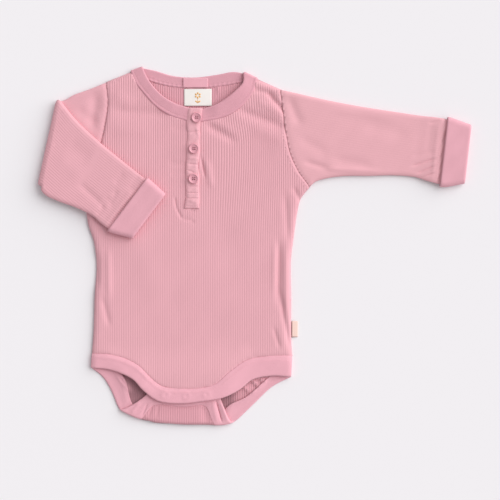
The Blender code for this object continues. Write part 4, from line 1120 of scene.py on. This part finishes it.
class Tube:
    """A flattened sleeve: its over edge as a curve, its width, and the heights of its two walls."""

    STEP = 0.5
    LEAD = 45.0  # how far the over edge is carried on past each of its ends
    TURNING = 70  # points over which the direction across the sleeve is averaged

    def __init__(self, table, armhole):
        rows = np.array(table, float)
        self.turned = np.flatnonzero(rows[:, 4] > 0)
        self.fold = None
        if len(self.turned):
            self.set_fold(rows)
        keep = [0]
        for i in range(1, len(rows)):
            if np.linalg.norm(rows[i, 0:2] - rows[keep[-1], 0:2]) > 0.5:
                keep.append(i)
        over = smooth_path(rows[keep, 0:2], self.STEP)
        lead = np.arange(self.STEP, self.LEAD, self.STEP)[:, None]
        ahead, behind = over[-1] - over[-8], over[0] - over[7]
        ahead, behind = ahead / np.linalg.norm(ahead), behind / np.linalg.norm(behind)
        self.over = np.vstack([over[0] + behind * lead[::-1], over, over[-1] + ahead * lead])
        self.over_run = run_of(self.over) - lead[-1, 0]
        self.length = self.over_run[-1] - lead[-1, 0]
        turns = np.gradient(self.over, axis=0)
        padded = np.pad(turns, ((self.TURNING, self.TURNING), (0, 0)), mode="edge")
        window = np.hanning(2 * self.TURNING + 1)
        slow = np.stack([np.convolve(padded[:, k], window, "valid") for k in range(2)], axis=1)
        self.direction = slow / np.linalg.norm(slow, axis=1, keepdims=True)
        self.normal = np.stack([self.direction[:, 1], -self.direction[:, 0]], axis=1)
        if (rows[0, 2:4] - rows[0, 0:2]) @ self.normal[len(lead)] < 0:
            self.normal = -self.normal
        self.under = self.project(smooth_path(rows[keep, 2:4], EDGE))
        self.hole = self.project(moved(armhole, HEAD_LAP, EDGE / 2))
        self.wrist = self.project(np.linspace(rows[-1, 0:2], rows[-1, 2:4], 50))
        at = self.project(rows[:, 0:2])[:, 1]
        self.heights = at, rows[:, 5], rows[:, 6]

    def set_fold(self, rows):
        """Unfolds the part past the fold, so that the whole sleeve lies in one plane."""
        first = self.turned[0]
        a, b = rows[first - 1, 0:2], rows[first - 1, 2:4]
        line = (b - a) / np.linalg.norm(b - a)
        out = np.array([line[1], -line[0]])
        if (a - rows[0, 0:2]) @ out < 0:
            out = -out
        low = rows[first - 1, 5:7].mean()
        high = rows[first, 5:7].mean()
        self.fold = {"at": a, "out": out, "middle": low, "radius": (high - low) / 2}
        turn = math.pi * self.fold["radius"]
        for i in self.turned:
            for k in (0, 2):
                past = (a - rows[i, k : k + 2]) @ out
                rows[i, k : k + 2] += out * (2 * past + turn)
        rows[first, 0:4] = rows[first - 1, 0:4] + np.tile(out * turn, 2)

    def project(self, points):
        """Points as (distance from the over edge, distance along it), measured square to the arm."""
        step = np.atleast_2d(points)[:, None] - self.over[None]
        ahead = (step * self.direction[None]).sum(2)
        across_it = np.abs((step * self.normal[None]).sum(2))
        i = (np.abs(ahead) + 0.02 * across_it).argmin(1)
        row = np.arange(len(i))
        return np.column_stack([(step[row, i] * self.normal[i]).sum(1), self.over_run[i] + ahead[row, i]])

    def width(self, t):
        """The tube's width at t. Before the armpit it has no under edge, so it is wider than the cloth."""
        s, at = self.under[:, 0], self.under[:, 1]
        order = np.argsort(at)
        inside = np.interp(t, at[order], s[order])
        return inside + np.maximum(at[0] - t, 0.0) * 3.0

    def cloth_outline(self):
        """The flat piece's outline as (across, along), symmetric about the over edge."""
        extra = 2 * (EDGE_ARC - EDGE_REACH)

        def round_edge(gap):
            """Length along the cloth from an edge, for a gap seen from above."""
            return EDGE_ARC * np.arccos(1 - np.clip(gap / EDGE_REACH, 0.0, 1.0)) * 2 / math.pi

        def across_cloth(points):
            s, t = points[:, 0], points[:, 1]
            left = self.width(t) - s
            arc = np.where(s < EDGE_REACH, round_edge(s), s + extra / 2)
            arc = np.where(left < EDGE_REACH, self.width(t) + extra - round_edge(left), arc)
            return np.column_stack([arc, t])

        under = self.under.copy()
        under[:, 0] += extra
        upper = joined(across_cloth(self.hole), under, across_cloth(self.wrist)[::-1])
        upper = upper[upper[:, 0] > 0.05]
        start, end = np.array([[0.0, self.hole[0, 1]]]), np.array([[0.0, self.wrist[0, 1]]])
        upper = np.vstack([start, upper, end])
        lower = upper[1:-1][::-1] * np.array([-1.0, 1.0])
        return np.vstack([upper, lower])

    def lay(self, cut):
        """Where each point of the flat piece lies."""
        s, t = np.abs(cut[:, 0]), cut[:, 1]
        side = np.where(cut[:, 0] >= 0, 1.0, -1.0)
        wide = self.width(t) + 2 * (EDGE_ARC - EDGE_REACH)
        over_turn = np.clip(s / EDGE_ARC, 0.0, 1.0) * math.pi / 2
        under_turn = np.clip((wide - s) / EDGE_ARC, 0.0, 1.0) * math.pi / 2
        plan = np.where(s < EDGE_ARC, EDGE_REACH * (1 - np.cos(over_turn)), s - (EDGE_ARC - EDGE_REACH))
        plan = np.where(wide - s < EDGE_ARC, self.width(t) - EDGE_REACH * (1 - np.cos(under_turn)), plan)
        plan += KNIT / 2 * (np.cos(over_turn) - np.cos(under_turn))
        level = side * np.sin(over_turn) * np.sin(under_turn) / 2
        base, normal = (
            np.stack([np.interp(t, self.over_run, v[:, k]) for k in range(2)], axis=1)
            for v in (self.over, self.normal)
        )
        place = base + normal * plan[:, None]
        at, low, high = self.heights
        thick = np.interp(t, at, high - low)
        middle = np.interp(t, at, (high + low) / 2)
        if self.fold is None:
            return np.column_stack([place, middle + level * thick]), side > 0
        return self.fold_over(place, level * thick, middle, side)

    def fold_over(self, place, level, middle, side):
        fold = self.fold
        past = (place - fold["at"]) @ fold["out"]
        angle = np.clip(past / fold["radius"], 0.0, math.pi)
        reach = fold["radius"] - level
        beyond = np.maximum(past - math.pi * fold["radius"], 0.0)
        now = np.where(past > 0, reach * np.sin(angle) - beyond, past)
        place = place + fold["out"] * (now - past)[:, None]
        over = angle / math.pi
        height = np.where(
            past <= 0,
            np.minimum(middle, fold["middle"] + 0.3) + level,
            fold["middle"] + fold["radius"] - reach * np.cos(angle),
        )
        lift = np.maximum(middle - fold["middle"] - 2 * fold["radius"], 0.0) * (over >= 1.0)
        shown = np.where(over > 0.5, side < 0, side > 0)
        return np.column_stack([place, height + lift]), shown


# %% Sleeve cloth
SLEEVE_ROW = 2.6  # spacing of a sleeve's points along its ribs, halved round the elbow's fold
LEFT_FOLDS = rows_of(
    Fold,
    (281.1, 175.0, 263.9, 30.0, 0.9, 1.5),
    (267.0, 104.0, 238.0, 96.0, 3.0, 0.5),
    (268.0, 96.0, 236.0, 85.0, 1.6, 1.2),
    (267.0, 88.0, 242.0, 77.0, 1.3, 1.2),
    (266.0, 80.0, 246.0, 72.5, 1.2, 1.0),
    (271.0, 137.0, 258.0, 133.0, 1.6, 0.8),
    (270.5, 141.0, 260.5, 66.0, 1.7, -0.9),
    (262.0, 140.0, 256.0, 96.0, 2.6, 0.45),
    (102.0, 166.0, 118.0, 128.0, 5.0, 1.2),
    (112.0, 120.0, 150.0, 98.0, 6.0, 0.6),
    (148.0, 95.0, 200.0, 86.0, 6.0, 0.9),
    (118.0, 93.0, 152.0, 82.0, 3.6, 1.0),
    (136.0, 84.0, 210.0, 81.0, 2.6, -0.7),
    (180.0, 134.0, 240.0, 120.0, 9.0, 0.7),
    (140.0, 150.0, 230.0, 138.0, 5.0, -0.5),
)
RIGHT_FOLDS = rows_of(
    Fold,
    (-39.8, 90.5, -104.0, 5.9, 1.0, 1.6),
    (-42.6, 92.6, -106.8, 8.0, 2.2, -0.9),
    (-107.0, 172.0, -111.0, 122.0, 6.0, 1.9),
    (-106.0, 150.0, -104.0, 124.0, 3.0, -0.6),
    (-130.0, 152.0, -108.0, 132.0, 5.0, 0.7),
    (-140.0, 112.0, -112.0, 92.0, 9.0, 0.6),
    (-150.0, 96.0, -120.0, 72.0, 8.0, -0.4),
    (-128.0, 70.0, -96.0, 40.0, 4.0, 0.8),
    (-82.0, 62.0, -94.0, 40.0, 2.6, 0.9),
    (-90.0, 54.0, -104.0, 38.0, 2.4, 0.8),
    (-96.0, 44.0, -108.0, 32.0, 2.0, 0.7),
    (-75.0, 80.0, -88.0, 66.0, 2.6, 0.6),
    (-56.0, 78.0, -72.0, 56.0, 3.6, 1.0),
)


def sleeve_cloth(name, table, armhole, folds, finish, ribs):
    tube = Tube(table, armhole)
    outline = clean(tube.cloth_outline())
    columns = rib_columns(outline[:, 0].min(), outline[:, 0].max())
    rows = np.arange(outline[:, 1].min(), outline[:, 1].max(), SLEEVE_ROW / 2)
    grid = crossings(columns, rows)
    number = np.repeat(np.arange(len(rows)), len(columns))
    keep = number % 2 == 0
    if tube.fold:
        place = tube.lay(grid)[0][:, :2]
        keep |= np.abs((place - tube.fold["at"]) @ tube.fold["out"] - 1.0) < 5.0
    flat, faces = filled(outline, grid[keep])
    placed, shown = tube.lay(flat)
    x, y = placed[:, 0], placed[:, 1]
    inward = ease(np.abs(flat[:, 0]) / 9.0)
    sunk = fold_depth(folds, x, y) + ripple(x, y, length=11.0, height=0.25) * inward
    dip = UNDER_DIP if tube.fold else OVER_DIP
    sunk += seam_dip(placed[:, :2], ARMHOLES, dip) * (placed[:, 2] < FRONT_Z + 0.6)
    placed[:, 2] = np.maximum(placed[:, 2] - np.where(shown, sunk, 0.0), (KNIT + RIB_DEPTH) / 2)
    ribs = ribs * (1.0 + 0.8 * ease((placed[:, 2] - 5.0) / 2.0))
    ribs *= ease(distance_to(placed[:, :2], ARMHOLES) / 4.0)
    piece = rib_cloth(name, placed, faces, flat, finish, ribs, closed=True)
    across_arm, along_arm = np.ptp(outline, axis=0) * MM
    return piece, (across_arm, along_arm, outline_area(outline))


sleeve_left, left_cut = sleeve_cloth(
    "sleeve_left_cloth", SLEEVE_LEFT, ARMHOLE_LEFT, LEFT_FOLDS, SLEEVE_KNIT, ribs=0.15
)
sleeve_right, right_cut = sleeve_cloth(
    "sleeve_right_cloth", SLEEVE_RIGHT, ARMHOLE_RIGHT, RIGHT_FOLDS, RIB_KNIT, ribs=0.28
)

# %% [markdown]
# ## Cuffs
# Each cuff is a plain band turned back over its sleeve: it comes out of the wrist, turns round the end and
# lies back over the ribs with its free edge standing off a little.


# %% Cuffs
def near_wrist(table, along):
    """The sleeve's section that far back from the wrist."""
    turned = [r for r in table if r.turn == table[-1].turn]
    rows = smooth_path(turned, 4.0)[::-1]
    run = run_of(rows[:, :4]) / math.sqrt(2.0)
    return Section(*(np.interp(along, run, rows[:, k]) for k in range(7)))


RING = 96  # points round a cuff
CUFF_IN = 6.0  # how far a cuff runs up inside its sleeve


def flat_ring(width, low, high, grow):
    """A flattened tube's middle line in section: evenly spaced points, as (across, height)."""
    centre = (low + high) / 2
    left, right = KNIT / 2 - grow, width - KNIT / 2 + grow
    angle = np.linspace(0.0, math.pi / 2, 9)
    across_arc, rise = EDGE_REACH * (1 - np.cos(angle)), np.sin(angle)
    top = high + grow - centre
    across_ring = np.concatenate([left + across_arc, right - across_arc[::-1]])
    height = centre + np.concatenate([rise, rise[::-1]]) * top
    ring = np.vstack([
        np.column_stack([across_ring, height]),
        np.column_stack([across_ring[::-1], 2 * centre - height[::-1]])[1:-1],
    ])
    return evenly(np.vstack([ring, ring[:1]]), RING + 1)[:-1]


def cuff(name, table):
    last, inward = near_wrist(table, 0.0), near_wrist(table, CUFF_REACH)
    wrist = np.array([last.over_x - last.under_x, last.over_y - last.under_y])
    onward = np.array([wrist[1], -wrist[0]]) / np.linalg.norm(wrist)
    onward *= np.sign(onward @ np.array([last.over_x - inward.over_x, last.over_y - inward.over_y]))
    lift = KNIT / 2 + 2 * LAY + CUFF / 2
    stations = [(CUFF_IN * (1 - k / 4), 0.0) for k in range(4)]
    for angle in np.linspace(0.0, math.pi, 11):
        stations.append((-CUFF_END * math.sin(angle) - 0.3, lift * (1 - math.cos(angle)) / 2))
    stations += [(a, lift + CUFF_FLARE * (a / CUFF_REACH) ** 3) for a in np.linspace(1.0, CUFF_REACH, 24)]
    rings, cut = [], []
    for number, (along, grow) in enumerate(stations):
        here = near_wrist(table, max(along, 0.0))
        over, under = np.array([here.over_x, here.over_y]), np.array([here.under_x, here.under_y])
        width = np.linalg.norm(under - over)
        inner = grow - (KNIT + CUFF) / 2 - 0.2 if along > 0 and grow == 0.0 else grow
        ring = flat_ring(width, here.low, here.high, inner)
        ring[:, 1] = np.maximum(ring[:, 1], here.low - lift)
        flat = over + (under - over) * (ring[:, :1] / width) + onward * max(-along, 0.0)
        waves = ripple(flat[:, 0], flat[:, 1], 7.0, 0.35) * ease(grow / lift) * (ring[:, 1] > here.high)
        rings.append(np.column_stack([flat, ring[:, 1] + waves]))
        cut.append(np.column_stack([np.linspace(0, 2 * width, RING), np.full(RING, number * 1.0)]))
    rings, cut = np.array(rings), np.array(cut)
    share = np.linspace(0.0, 1.0, len(rings))
    half = np.repeat(rounded(share, ends=0.06)[:, None] * CUFF / 2, rings.shape[1], axis=1)
    return shell(name, rings, half, CUFF_KNIT, cut, closed=True)


cuff_left = cuff("cuff_left_cloth", SLEEVE_LEFT)
cuff_right = cuff("cuff_right_cloth", SLEEVE_RIGHT)

# %% [markdown]
# ## Button stand
# The opening is faced with a doubled strip. Washing shrinks the strip less than its thread, so it puckers
# between the stitches and its free edge lifts between two buttons. Those are short folds on a fine grid.

# %% Button stand
STAND_FOLDS = rows_of(
    Fold,
    (-8.0, 89.0, 8.0, 88.0, 1.1, 0.8),
    (-8.0, 82.0, 1.0, 79.5, 1.2, 0.7),
    (-8.0, 123.0, 8.0, 125.0, 1.3, 0.6),
    (-8.0, 96.0, 7.0, 94.0, 1.6, -0.5),
    (-8.0, 65.0, 7.0, 63.5, 1.2, 0.5),
    (-10.5, 57.2, 7.5, 57.2, 0.7, 0.6),
    (-10.5, 51.2, 7.5, 51.2, 0.7, 0.6),
    (-10.5, 42.6, 7.5, 42.6, 0.7, 0.5),
    (-6.0, 49.0, 6.0, 46.0, 1.6, -0.5),
    (7.0, 96.0, 7.0, 74.0, 1.8, -1.5),
    (2.0, 131.0, 8.0, 112.0, 1.6, -0.6),
)


LET_DOWN = 1.15  # the most that any point of the stand sinks


def stand(name, z, thick, inset, finish, folds, soft):
    """One layer of the stand. A soft one wanders, ripples and lets its edges down to the front."""
    y = np.linspace(PLACKET[0].y, PLACKET[-1].y, 180)
    wobble = np.sin(y / 3.7) * 0.25 + np.sin(y / 8.3 + 1.0) * 0.4
    x = read_table(PLACKET, "x", y) + wobble * soft
    half_width = read_table(PLACKET, "width", y) / 2 - inset + 0.3 * np.sin(y / 5.1) * soft
    share = np.linspace(-1.0, 1.0, 31)
    grid_x = x[:, None] + half_width[:, None] * share
    grid_y = np.repeat(y[:, None], len(share), axis=1)
    height = z - fold_depth(folds, grid_x, grid_y) + ripple(grid_x, grid_y, 2.6, 0.22) * soft
    at_side, at_foot = ease((np.abs(share) - 0.55) / 0.45), ease((PLACKET[-1].y + 3.0 - y) / 3.0)
    let_down = np.maximum(at_side[None], at_foot[:, None])
    height = np.maximum(height - let_down * soft, z - LET_DOWN)
    ends = rounded(np.linspace(0.0, 1.0, len(y)), ends=0.01)
    half = ends[:, None] * rounded((share + 1) / 2, ends=0.08)[None] * thick / 2
    cut = np.stack([grid_x, grid_y], axis=-1)
    return shell(name, np.dstack([grid_x, grid_y, height]), half, finish, cut)


stand_z = FRONT_Z + KNIT / 2 + LAY / 2 + PLACKET_THICK / 2
stand_under = stand("placket_under_cloth", FRONT_Z, KNIT, TUCK + 0.3, PLAIN_KNIT, [], soft=0.0)
stand_top = stand("placket_top_cloth", stand_z, PLACKET_THICK, 0.0, STAND_KNIT, STAND_FOLDS, soft=1.0)

# %% [markdown]
# ## Buttons
# A sewn button is turned: a flat back, a round rim and a dished face with four holes. A profile spun round
# its axis gives the disc. An exact Boolean drills the holes, and two bars of thread cross between them.


# %% Buttons
Turn = namedtuple("Turn", "share height")
BUTTON_PROFILE = rows_of(
    Turn,
    (0.0, 0.0),
    (0.62, 0.0),
    (0.86, 0.12),
    (0.96, 0.45),
    (1.0, 0.95),
    (0.99, 1.5),
    (0.94, 1.95),
    (0.87, 2.15),
    (0.8, 2.1),
    (0.74, 1.75),
    (0.68, 1.45),
    (0.5, 1.32),
    (0.0, 1.3),
)
DRILL_PROFILE = rows_of(Turn, (0, 0), (1, 0), (1, 5), (0, 5))
HOLE_SPREAD, HOLE_RADIUS = 1.35, 0.72  # how far a hole's centre is from the button's, and its radius


def on_circle(centre, radius, angle):
    return centre[0] + radius * math.cos(angle), centre[1] + radius * math.sin(angle)


def turned(name, centre, radius, bottom, profile, segments):
    """A profile spun round a vertical axis; its ends close at the axis."""
    angle = np.linspace(0.0, 2 * math.pi, segments, endpoint=False)
    points, rings = [], []
    for share, height in profile:
        count = 1 if share == 0 else segments
        rings.append(range(len(points), len(points) + count))
        points += [(*on_circle(centre, radius * share, a), bottom + height) for a in angle[:count]]
    faces = []
    for low, high in zip(rings, rings[1:]):
        for k in range(segments):
            n = (k + 1) % segments
            corners = (low[k % len(low)], low[n % len(low)], high[n % len(high)], high[k % len(high)])
            faces.append(list(dict.fromkeys(corners)))
    piece = add_piece(name, points, faces, BUTTON)
    mend(piece)
    return piece


def drill_holes(piece, centre, bottom):
    for k in range(4):
        place = on_circle(centre, HOLE_SPREAD, math.pi / 4 + k * math.pi / 2)
        drill = turned("drill", place, HOLE_RADIUS, bottom - 1.0, DRILL_PROFILE, 20)
        cut = piece.modifiers.new("hole", "BOOLEAN")
        cut.object = drill
        cut.operation = "DIFFERENCE"
        cut.solver = "EXACT"
        bpy.context.view_layer.objects.active = piece
        bpy.ops.object.modifier_apply(modifier=cut.name)
        bpy.data.objects.remove(drill, do_unlink=True)


def rod(start, end, radius, sides=6, steps=6, bow=0.0):
    """Points and faces of a thread from start to end with round ends, bowed up in its middle."""
    start, end = np.array(start, float), np.array(end, float)
    along = (end - start) / np.linalg.norm(end - start)
    side = np.cross(along, (0.0, 0.0, 1.0))
    side /= np.linalg.norm(side)
    up = np.cross(side, along)
    rings = []
    for share in np.linspace(0.0, 1.0, steps + 1):
        middle = start + (end - start) * share + up * bow * math.sin(math.pi * share)
        reach = radius * math.sqrt(max(1.0 - abs(2 * share - 1) ** 6, 0.02))
        turns = np.linspace(0.0, 2 * math.pi, sides, endpoint=False)
        rings.append([middle + reach * (math.cos(a) * side + math.sin(a) * up) for a in turns])
    faces = [
        (i * sides + j, i * sides + (j + 1) % sides, (i + 1) * sides + (j + 1) % sides, (i + 1) * sides + j)
        for i in range(steps)
        for j in range(sides)
    ]
    faces += [tuple(range(sides))[::-1], tuple(steps * sides + j for j in range(sides))]
    return np.concatenate(rings), faces


def gathered(name, parts, finish):
    """One piece from several lists of points and faces."""
    points, faces = [], []
    for some, their_faces in parts:
        faces += [[len(points) + i for i in face] for face in their_faces]
        points += [tuple(p) for p in some]
    piece = add_piece(name, points, faces, finish)
    mend(piece)
    return piece


trim = []
for node in ("button_1", "button_2", "button_3"):
    low_corner, high_corner = node_box(node)
    centre, radius = (low_corner + high_corner)[:2] / 2, (high_corner - low_corner)[0] / 2
    disc = turned(f"{node}_face", centre, radius, low_corner[2], BUTTON_PROFILE, 56)
    drill_holes(disc, centre, low_corner[2])
    bars = []
    level = low_corner[2] + 1.35
    for side in (-1, 1):
        offset = HOLE_SPREAD * math.sqrt(0.5) * side
        for lean in (-0.16, 0.16):
            ends = [(centre[0] + offset + lean, centre[1] + y, level) for y in (-0.95, 0.95)]
            bars.append(rod(*ends, radius=0.2, bow=0.3))
    thread = gathered(f"{node}_thread", bars, BUTTON_THREAD)
    trim += [(disc, node, "button_plastic"), (thread, None, "plain_knit")]
print("buttons", [len(t[0].data.polygons) for t in trim[::2]])

# %% [markdown]
# ## Stitches
# Every seam is held by a row of short stitches. One stitch is a small rod. Geometry nodes space it along a
# path, turned to follow it, so a seam has only its path to give.


# %% Geometry nodes: a row of stitches
STITCH_SPACING = 2.6
STITCH_LENGTH = 1.7
THREAD_RADIUS = 0.17


def stitch_tree():
    inputs = [("Spacing", "NodeSocketFloat", STITCH_SPACING * MM)]
    inputs += [("Stitch", "NodeSocketObject", None), ("Thread", "NodeSocketMaterial", None)]
    tree, start, end = node_tree("row of stitches", inputs)
    line = add(tree, "GeometryNodeMeshToCurve", Mesh=start.outputs[0])
    even = add(tree, "GeometryNodeResampleCurve", {"mode": "LENGTH"}, Curve=line)
    tree.links.new(start.outputs["Spacing"], even.inputs["Length"])
    tangent = tree.nodes.new("GeometryNodeInputTangent")
    follow = add(tree, "FunctionNodeAlignRotationToVector", {"axis": "X"}, Vector=tangent)
    one = add(tree, "GeometryNodeObjectInfo", Object=start.outputs["Stitch"])
    placing = {"Instance": one.outputs["Geometry"], "Rotation": follow.outputs[0]}
    row = add(tree, "GeometryNodeInstanceOnPoints", Points=even, **placing)
    return finish_tree(tree, row, start.outputs["Thread"], end)


STITCHES = stitch_tree()


def surface_height(piece, x, y):
    """The top of a piece above a point, or nothing where it doesn't reach."""
    hit, place, _, _ = piece.ray_cast(Vector((x * MM, y * MM, 0.05)), Vector((0.0, 0.0, -1.0)))
    return place.z / MM if hit else None


def stitched(name, piece, path):
    """A row of stitches laid on a piece, whose top is found about every millimetre along a path of (x, y)."""
    path = np.asarray(path, float)
    on_top = []
    for x, y in evenly(path, max(6, round(run_of(path)[-1]))):
        height = surface_height(piece, x, y)
        if height is not None:
            on_top.append((x, y, height + THREAD_RADIUS * 0.5))
    lines = [(i, i + 1) for i in range(len(on_top) - 1)]
    row = add_piece(name, on_top, [], THREAD)
    row.data.edges.add(len(lines))
    row.data.edges.foreach_set("vertices", np.array(lines).ravel())
    ends = (-STITCH_LENGTH / 2, 0.0, 0.0), (STITCH_LENGTH / 2, 0.0, 0.0)
    one = add_piece("one stitch", *rod(*ends, THREAD_RADIUS, sides=5, steps=3), THREAD)
    run_nodes(row, STITCHES, {"Spacing": STITCH_SPACING * MM, "Stitch": one, "Thread": THREAD})
    bpy.data.objects.remove(one, do_unlink=True)
    mend(row)
    print(name, len(row.data.polygons), "faces")
    return row


# %% Rows of stitches
STAND_INSET = 1.5  # from the stand's edge to its stitches
BAND_INSET = 0.24  # from a band's seam to its stitches, as a share of its width


def inset_path(rows, share):
    """A path inside a band, at a share of the way from its seam to its free edge."""
    fine = smooth_path(rows, 1.5)
    return fine[:, :2] * (1 - share) + fine[:, 2:4] * share


def stand_reach(y):
    """The middle of the stand at y, and how far out its stitches run."""
    return read_table(PLACKET, "x", y), read_table(PLACKET, "width", y) / 2 - STAND_INSET


def stand_line(side):
    y = np.linspace(147.0, 42.0, 80)
    x, half = stand_reach(y)
    return np.column_stack([x + side * half, y])


def stand_cross(y):
    x, half = stand_reach(y)
    return [(x[0] - half[0], y), (x[0] + half[0], y)]


Row = namedtuple("Row", "name piece path")
ROWS = rows_of(
    Row,
    ("stitches_stand_right", stand_top, stand_line(-1)),
    ("stitches_stand_left", stand_top, stand_line(1)),
    ("stitches_stand_foot", stand_top, stand_cross(42.6)),
    ("stitches_stand_box", stand_top, stand_cross(51.2)),
    ("stitches_stand_top", stand_top, stand_cross(57.2)),
    ("stitches_neck_right", neck, inset_path(NECK_FRONT_RIGHT, BAND_INSET)[4:]),
    ("stitches_neck_left", neck, inset_path(NECK_FRONT_LEFT, BAND_INSET)[4:]),
    ("stitches_leg_front", leg_front, inset_path(LEG_FRONT, BAND_INSET)),
)
trim += [(stitched(*row), None, "plain_knit") for row in ROWS]

# %% [markdown]
# ## Labels
# The woven label hangs from a tape inside the back of the neck. It is bare but for one small woven flower
# with two leaves. A folded loop of tape is caught in the side seam.


# %% Label, tape and tag
TAPE_THICK = 0.6
WEAVE = 0.5  # spacing of a tape's woven threads


def flat_tape(name, node, finish, bow):
    """A small piece of tape in its node's place: bowed a little, with soft edges."""
    low, high = node_box(node)
    across, along = np.linspace(0, 1, 41), np.linspace(0, 1, 25)
    x, y = np.meshgrid(np.linspace(low[0], high[0], len(across)), np.linspace(low[1], high[1], len(along)))
    share = (x - low[0]) / (high[0] - low[0])
    height = (low[2] + high[2]) / 2 + bow * np.sin(math.pi * share) + ripple(x, y, 4.0, 0.12)
    ends = rounded(along, 0.05)[:, None] * rounded(across, 0.05)[None]
    weave = 1.0 + 0.06 * np.sin(x * 2 * math.pi / WEAVE) * np.sin(y * 2 * math.pi / WEAVE)
    half = ends * TAPE_THICK / 2 * weave
    return shell(name, np.dstack([x, y, height]), half, finish, np.stack([x, y], axis=-1))


tape = flat_tape("neck_tape_cloth", "neck_tape", PLAIN_KNIT, bow=0.2)
label = flat_tape("neck_label_cloth", "neck_label", SATIN, bow=0.35)


def petal(x, y, length, width, angle, height):
    """A flat almond shape, as a thin closed solid."""
    turn = np.linspace(0.0, 2 * math.pi, 14, endpoint=False)
    along, aside = length / 2 * np.cos(turn), width / 2 * np.sin(turn) * np.abs(np.sin(turn)) ** 0.3
    outline = np.column_stack([
        x + (along + length / 2) * math.cos(angle) - aside * math.sin(angle),
        y + (along + length / 2) * math.sin(angle) + aside * math.cos(angle),
    ])
    top = np.column_stack([outline, np.full(len(turn), height)])
    bottom = top - (0.0, 0.0, 0.3)
    count = len(turn)
    faces = [tuple(range(count)), tuple(range(count, 2 * count))[::-1]]
    faces += [(i, count + i, count + (i + 1) % count, (i + 1) % count) for i in range(count)]
    return np.vstack([top, bottom]), faces


def on_label(x, y):
    return surface_height(label, x, y) + 0.06


motif = []
low_corner, high_corner = node_box("neck_label")
flower_x, flower_y = (low_corner[0] + high_corner[0]) / 2, (low_corner[1] + high_corner[1]) / 2 + 2.2
for k in range(6):
    angle = math.pi / 2 + k * math.pi / 3
    x, y = flower_x + 1.1 * math.cos(angle), flower_y + 1.1 * math.sin(angle)
    motif.append(petal(x, y, 2.6, 2.0, angle, on_label(flower_x, flower_y) + 0.03 * (k % 2)))
stem = [(flower_x, y, on_label(flower_x, y)) for y in (flower_y - 3.0, flower_y - 9.0)]
motif.append(rod(*stem, radius=0.22, steps=8))
for side in (-1, 1):
    angle = math.pi / 2 - side * 1.0
    motif.append(petal(flower_x, flower_y - 7.8, 3.6, 1.7, angle, on_label(flower_x, flower_y - 7.8)))
sprig = gathered("label_motif", motif, WOVEN_MOTIF)

low_corner, high_corner = node_box("side_tag")
reach = np.linspace(0.0, 1.0, 29)
tag_x = low_corner[0] + (high_corner[0] - low_corner[0]) * np.sin(reach * math.pi) ** 0.7
tag_z = low_corner[2] + 0.35 + (high_corner[2] - low_corner[2] - 0.7) * reach
tag_y = np.linspace(low_corner[1], high_corner[1], 23)
grid = np.dstack([
    np.repeat(tag_x[None], len(tag_y), axis=0),
    np.repeat(tag_y[:, None], len(tag_x), axis=1) + 0.5 * reach[None],
    np.repeat(tag_z[None], len(tag_y), axis=0),
])
half = rounded(np.linspace(0, 1, len(tag_y)), 0.06)[:, None] * np.full((1, len(reach)), TAPE_THICK / 2)
tag = shell("side_tag_cloth", grid, half, TAPE, grid[..., :2])

for snap in ("snap_1", "snap_2", "snap_3"):
    bpy.data.objects[snap].material_slots[0].material = SNAP

# %% Riding: each piece rides on the root in place of its CAD part
PIECES = [
    (front, "front_panel", "rib_knit"),
    (back, "back_panel", "rib_knit"),
    (leg_front, "leg_band_front", "plain_knit"),
    (leg_back, "leg_band_back", "plain_knit"),
    (neck, "neck_band", "plain_knit"),
    (sleeve_left, "sleeve_left", "rib_knit"),
    (sleeve_right, "sleeve_right", "rib_knit"),
    (cuff_left, "cuff_left", "plain_knit"),
    (cuff_right, "cuff_right", "plain_knit"),
    (stand_under, "placket_under", "plain_knit"),
    (stand_top, "placket_top", "plain_knit"),
    (tape, "neck_tape", "plain_knit"),
    (label, "neck_label", "label_satin"),
    (sprig, None, "label_satin"),
    (tag, "side_tag", "tag_tape"),
]
for piece, node, slot in PIECES + trim:
    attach(piece, "root")
    if node:
        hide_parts(node)
print("pieces", len(PIECES + trim))


# %% Floor, light and camera
FLOOR_REACH = 3.0  # the floor's size, light and camera are in metres
FLOOR_Z = -0.0003
TOWARDS_LIGHT = Vector((0.86, 0.46, 0.61))
HEIGHT = 2.0  # the camera's height
FRAME_WIDTH = 0.55  # how much of the floor it sees
scene = bpy.context.scene

corners = [(x * FLOOR_REACH, y * FLOOR_REACH, FLOOR_Z) for x, y in ((-1, -1), (1, -1), (1, 1), (-1, 1))]
floor_mesh = bpy.data.meshes.new("floor")
floor_mesh.from_pydata(corners, [], [(0, 1, 2, 3)])
floor = bpy.data.objects.new("floor", floor_mesh)
scene.collection.objects.link(floor)
paper = bpy.data.materials.new("paper floor")
paper.use_nodes = True
paper_shader = paper.node_tree.nodes["Principled BSDF"]
paper_shader.inputs["Base Color"].default_value = (0.88, 0.86, 0.88, 1)
paper_shader.inputs["Roughness"].default_value = 0.9
floor_mesh.materials.append(paper)

window_data = bpy.data.lights.new("window", "SUN")
window_data.energy = 3.05
window_data.angle = math.radians(68.0)
window = bpy.data.objects.new("window", window_data)
window.rotation_mode = "QUATERNION"
window.rotation_quaternion = TOWARDS_LIGHT.to_track_quat("Z", "Y")
scene.collection.objects.link(window)

room = bpy.data.worlds.new("soft room")
room.use_nodes = True
room_light = room.node_tree.nodes["Background"]
room_light.inputs["Color"].default_value = (1.0, 0.985, 1.0, 1.0)
room_light.inputs["Strength"].default_value = 0.49
scene.world = room
scene.view_settings.view_transform = "Standard"

camera_data = bpy.data.cameras.new("camera")
camera_data.sensor_width = 36.0
camera_data.lens = camera_data.sensor_width * HEIGHT / FRAME_WIDTH
camera = bpy.data.objects.new("camera", camera_data)
camera.location = (0.0616, -0.0055, HEIGHT)
scene.collection.objects.link(camera)
scene.camera = camera
print("camera", tuple(round(v, 4) for v in camera.location), "lens", round(camera_data.lens, 1))
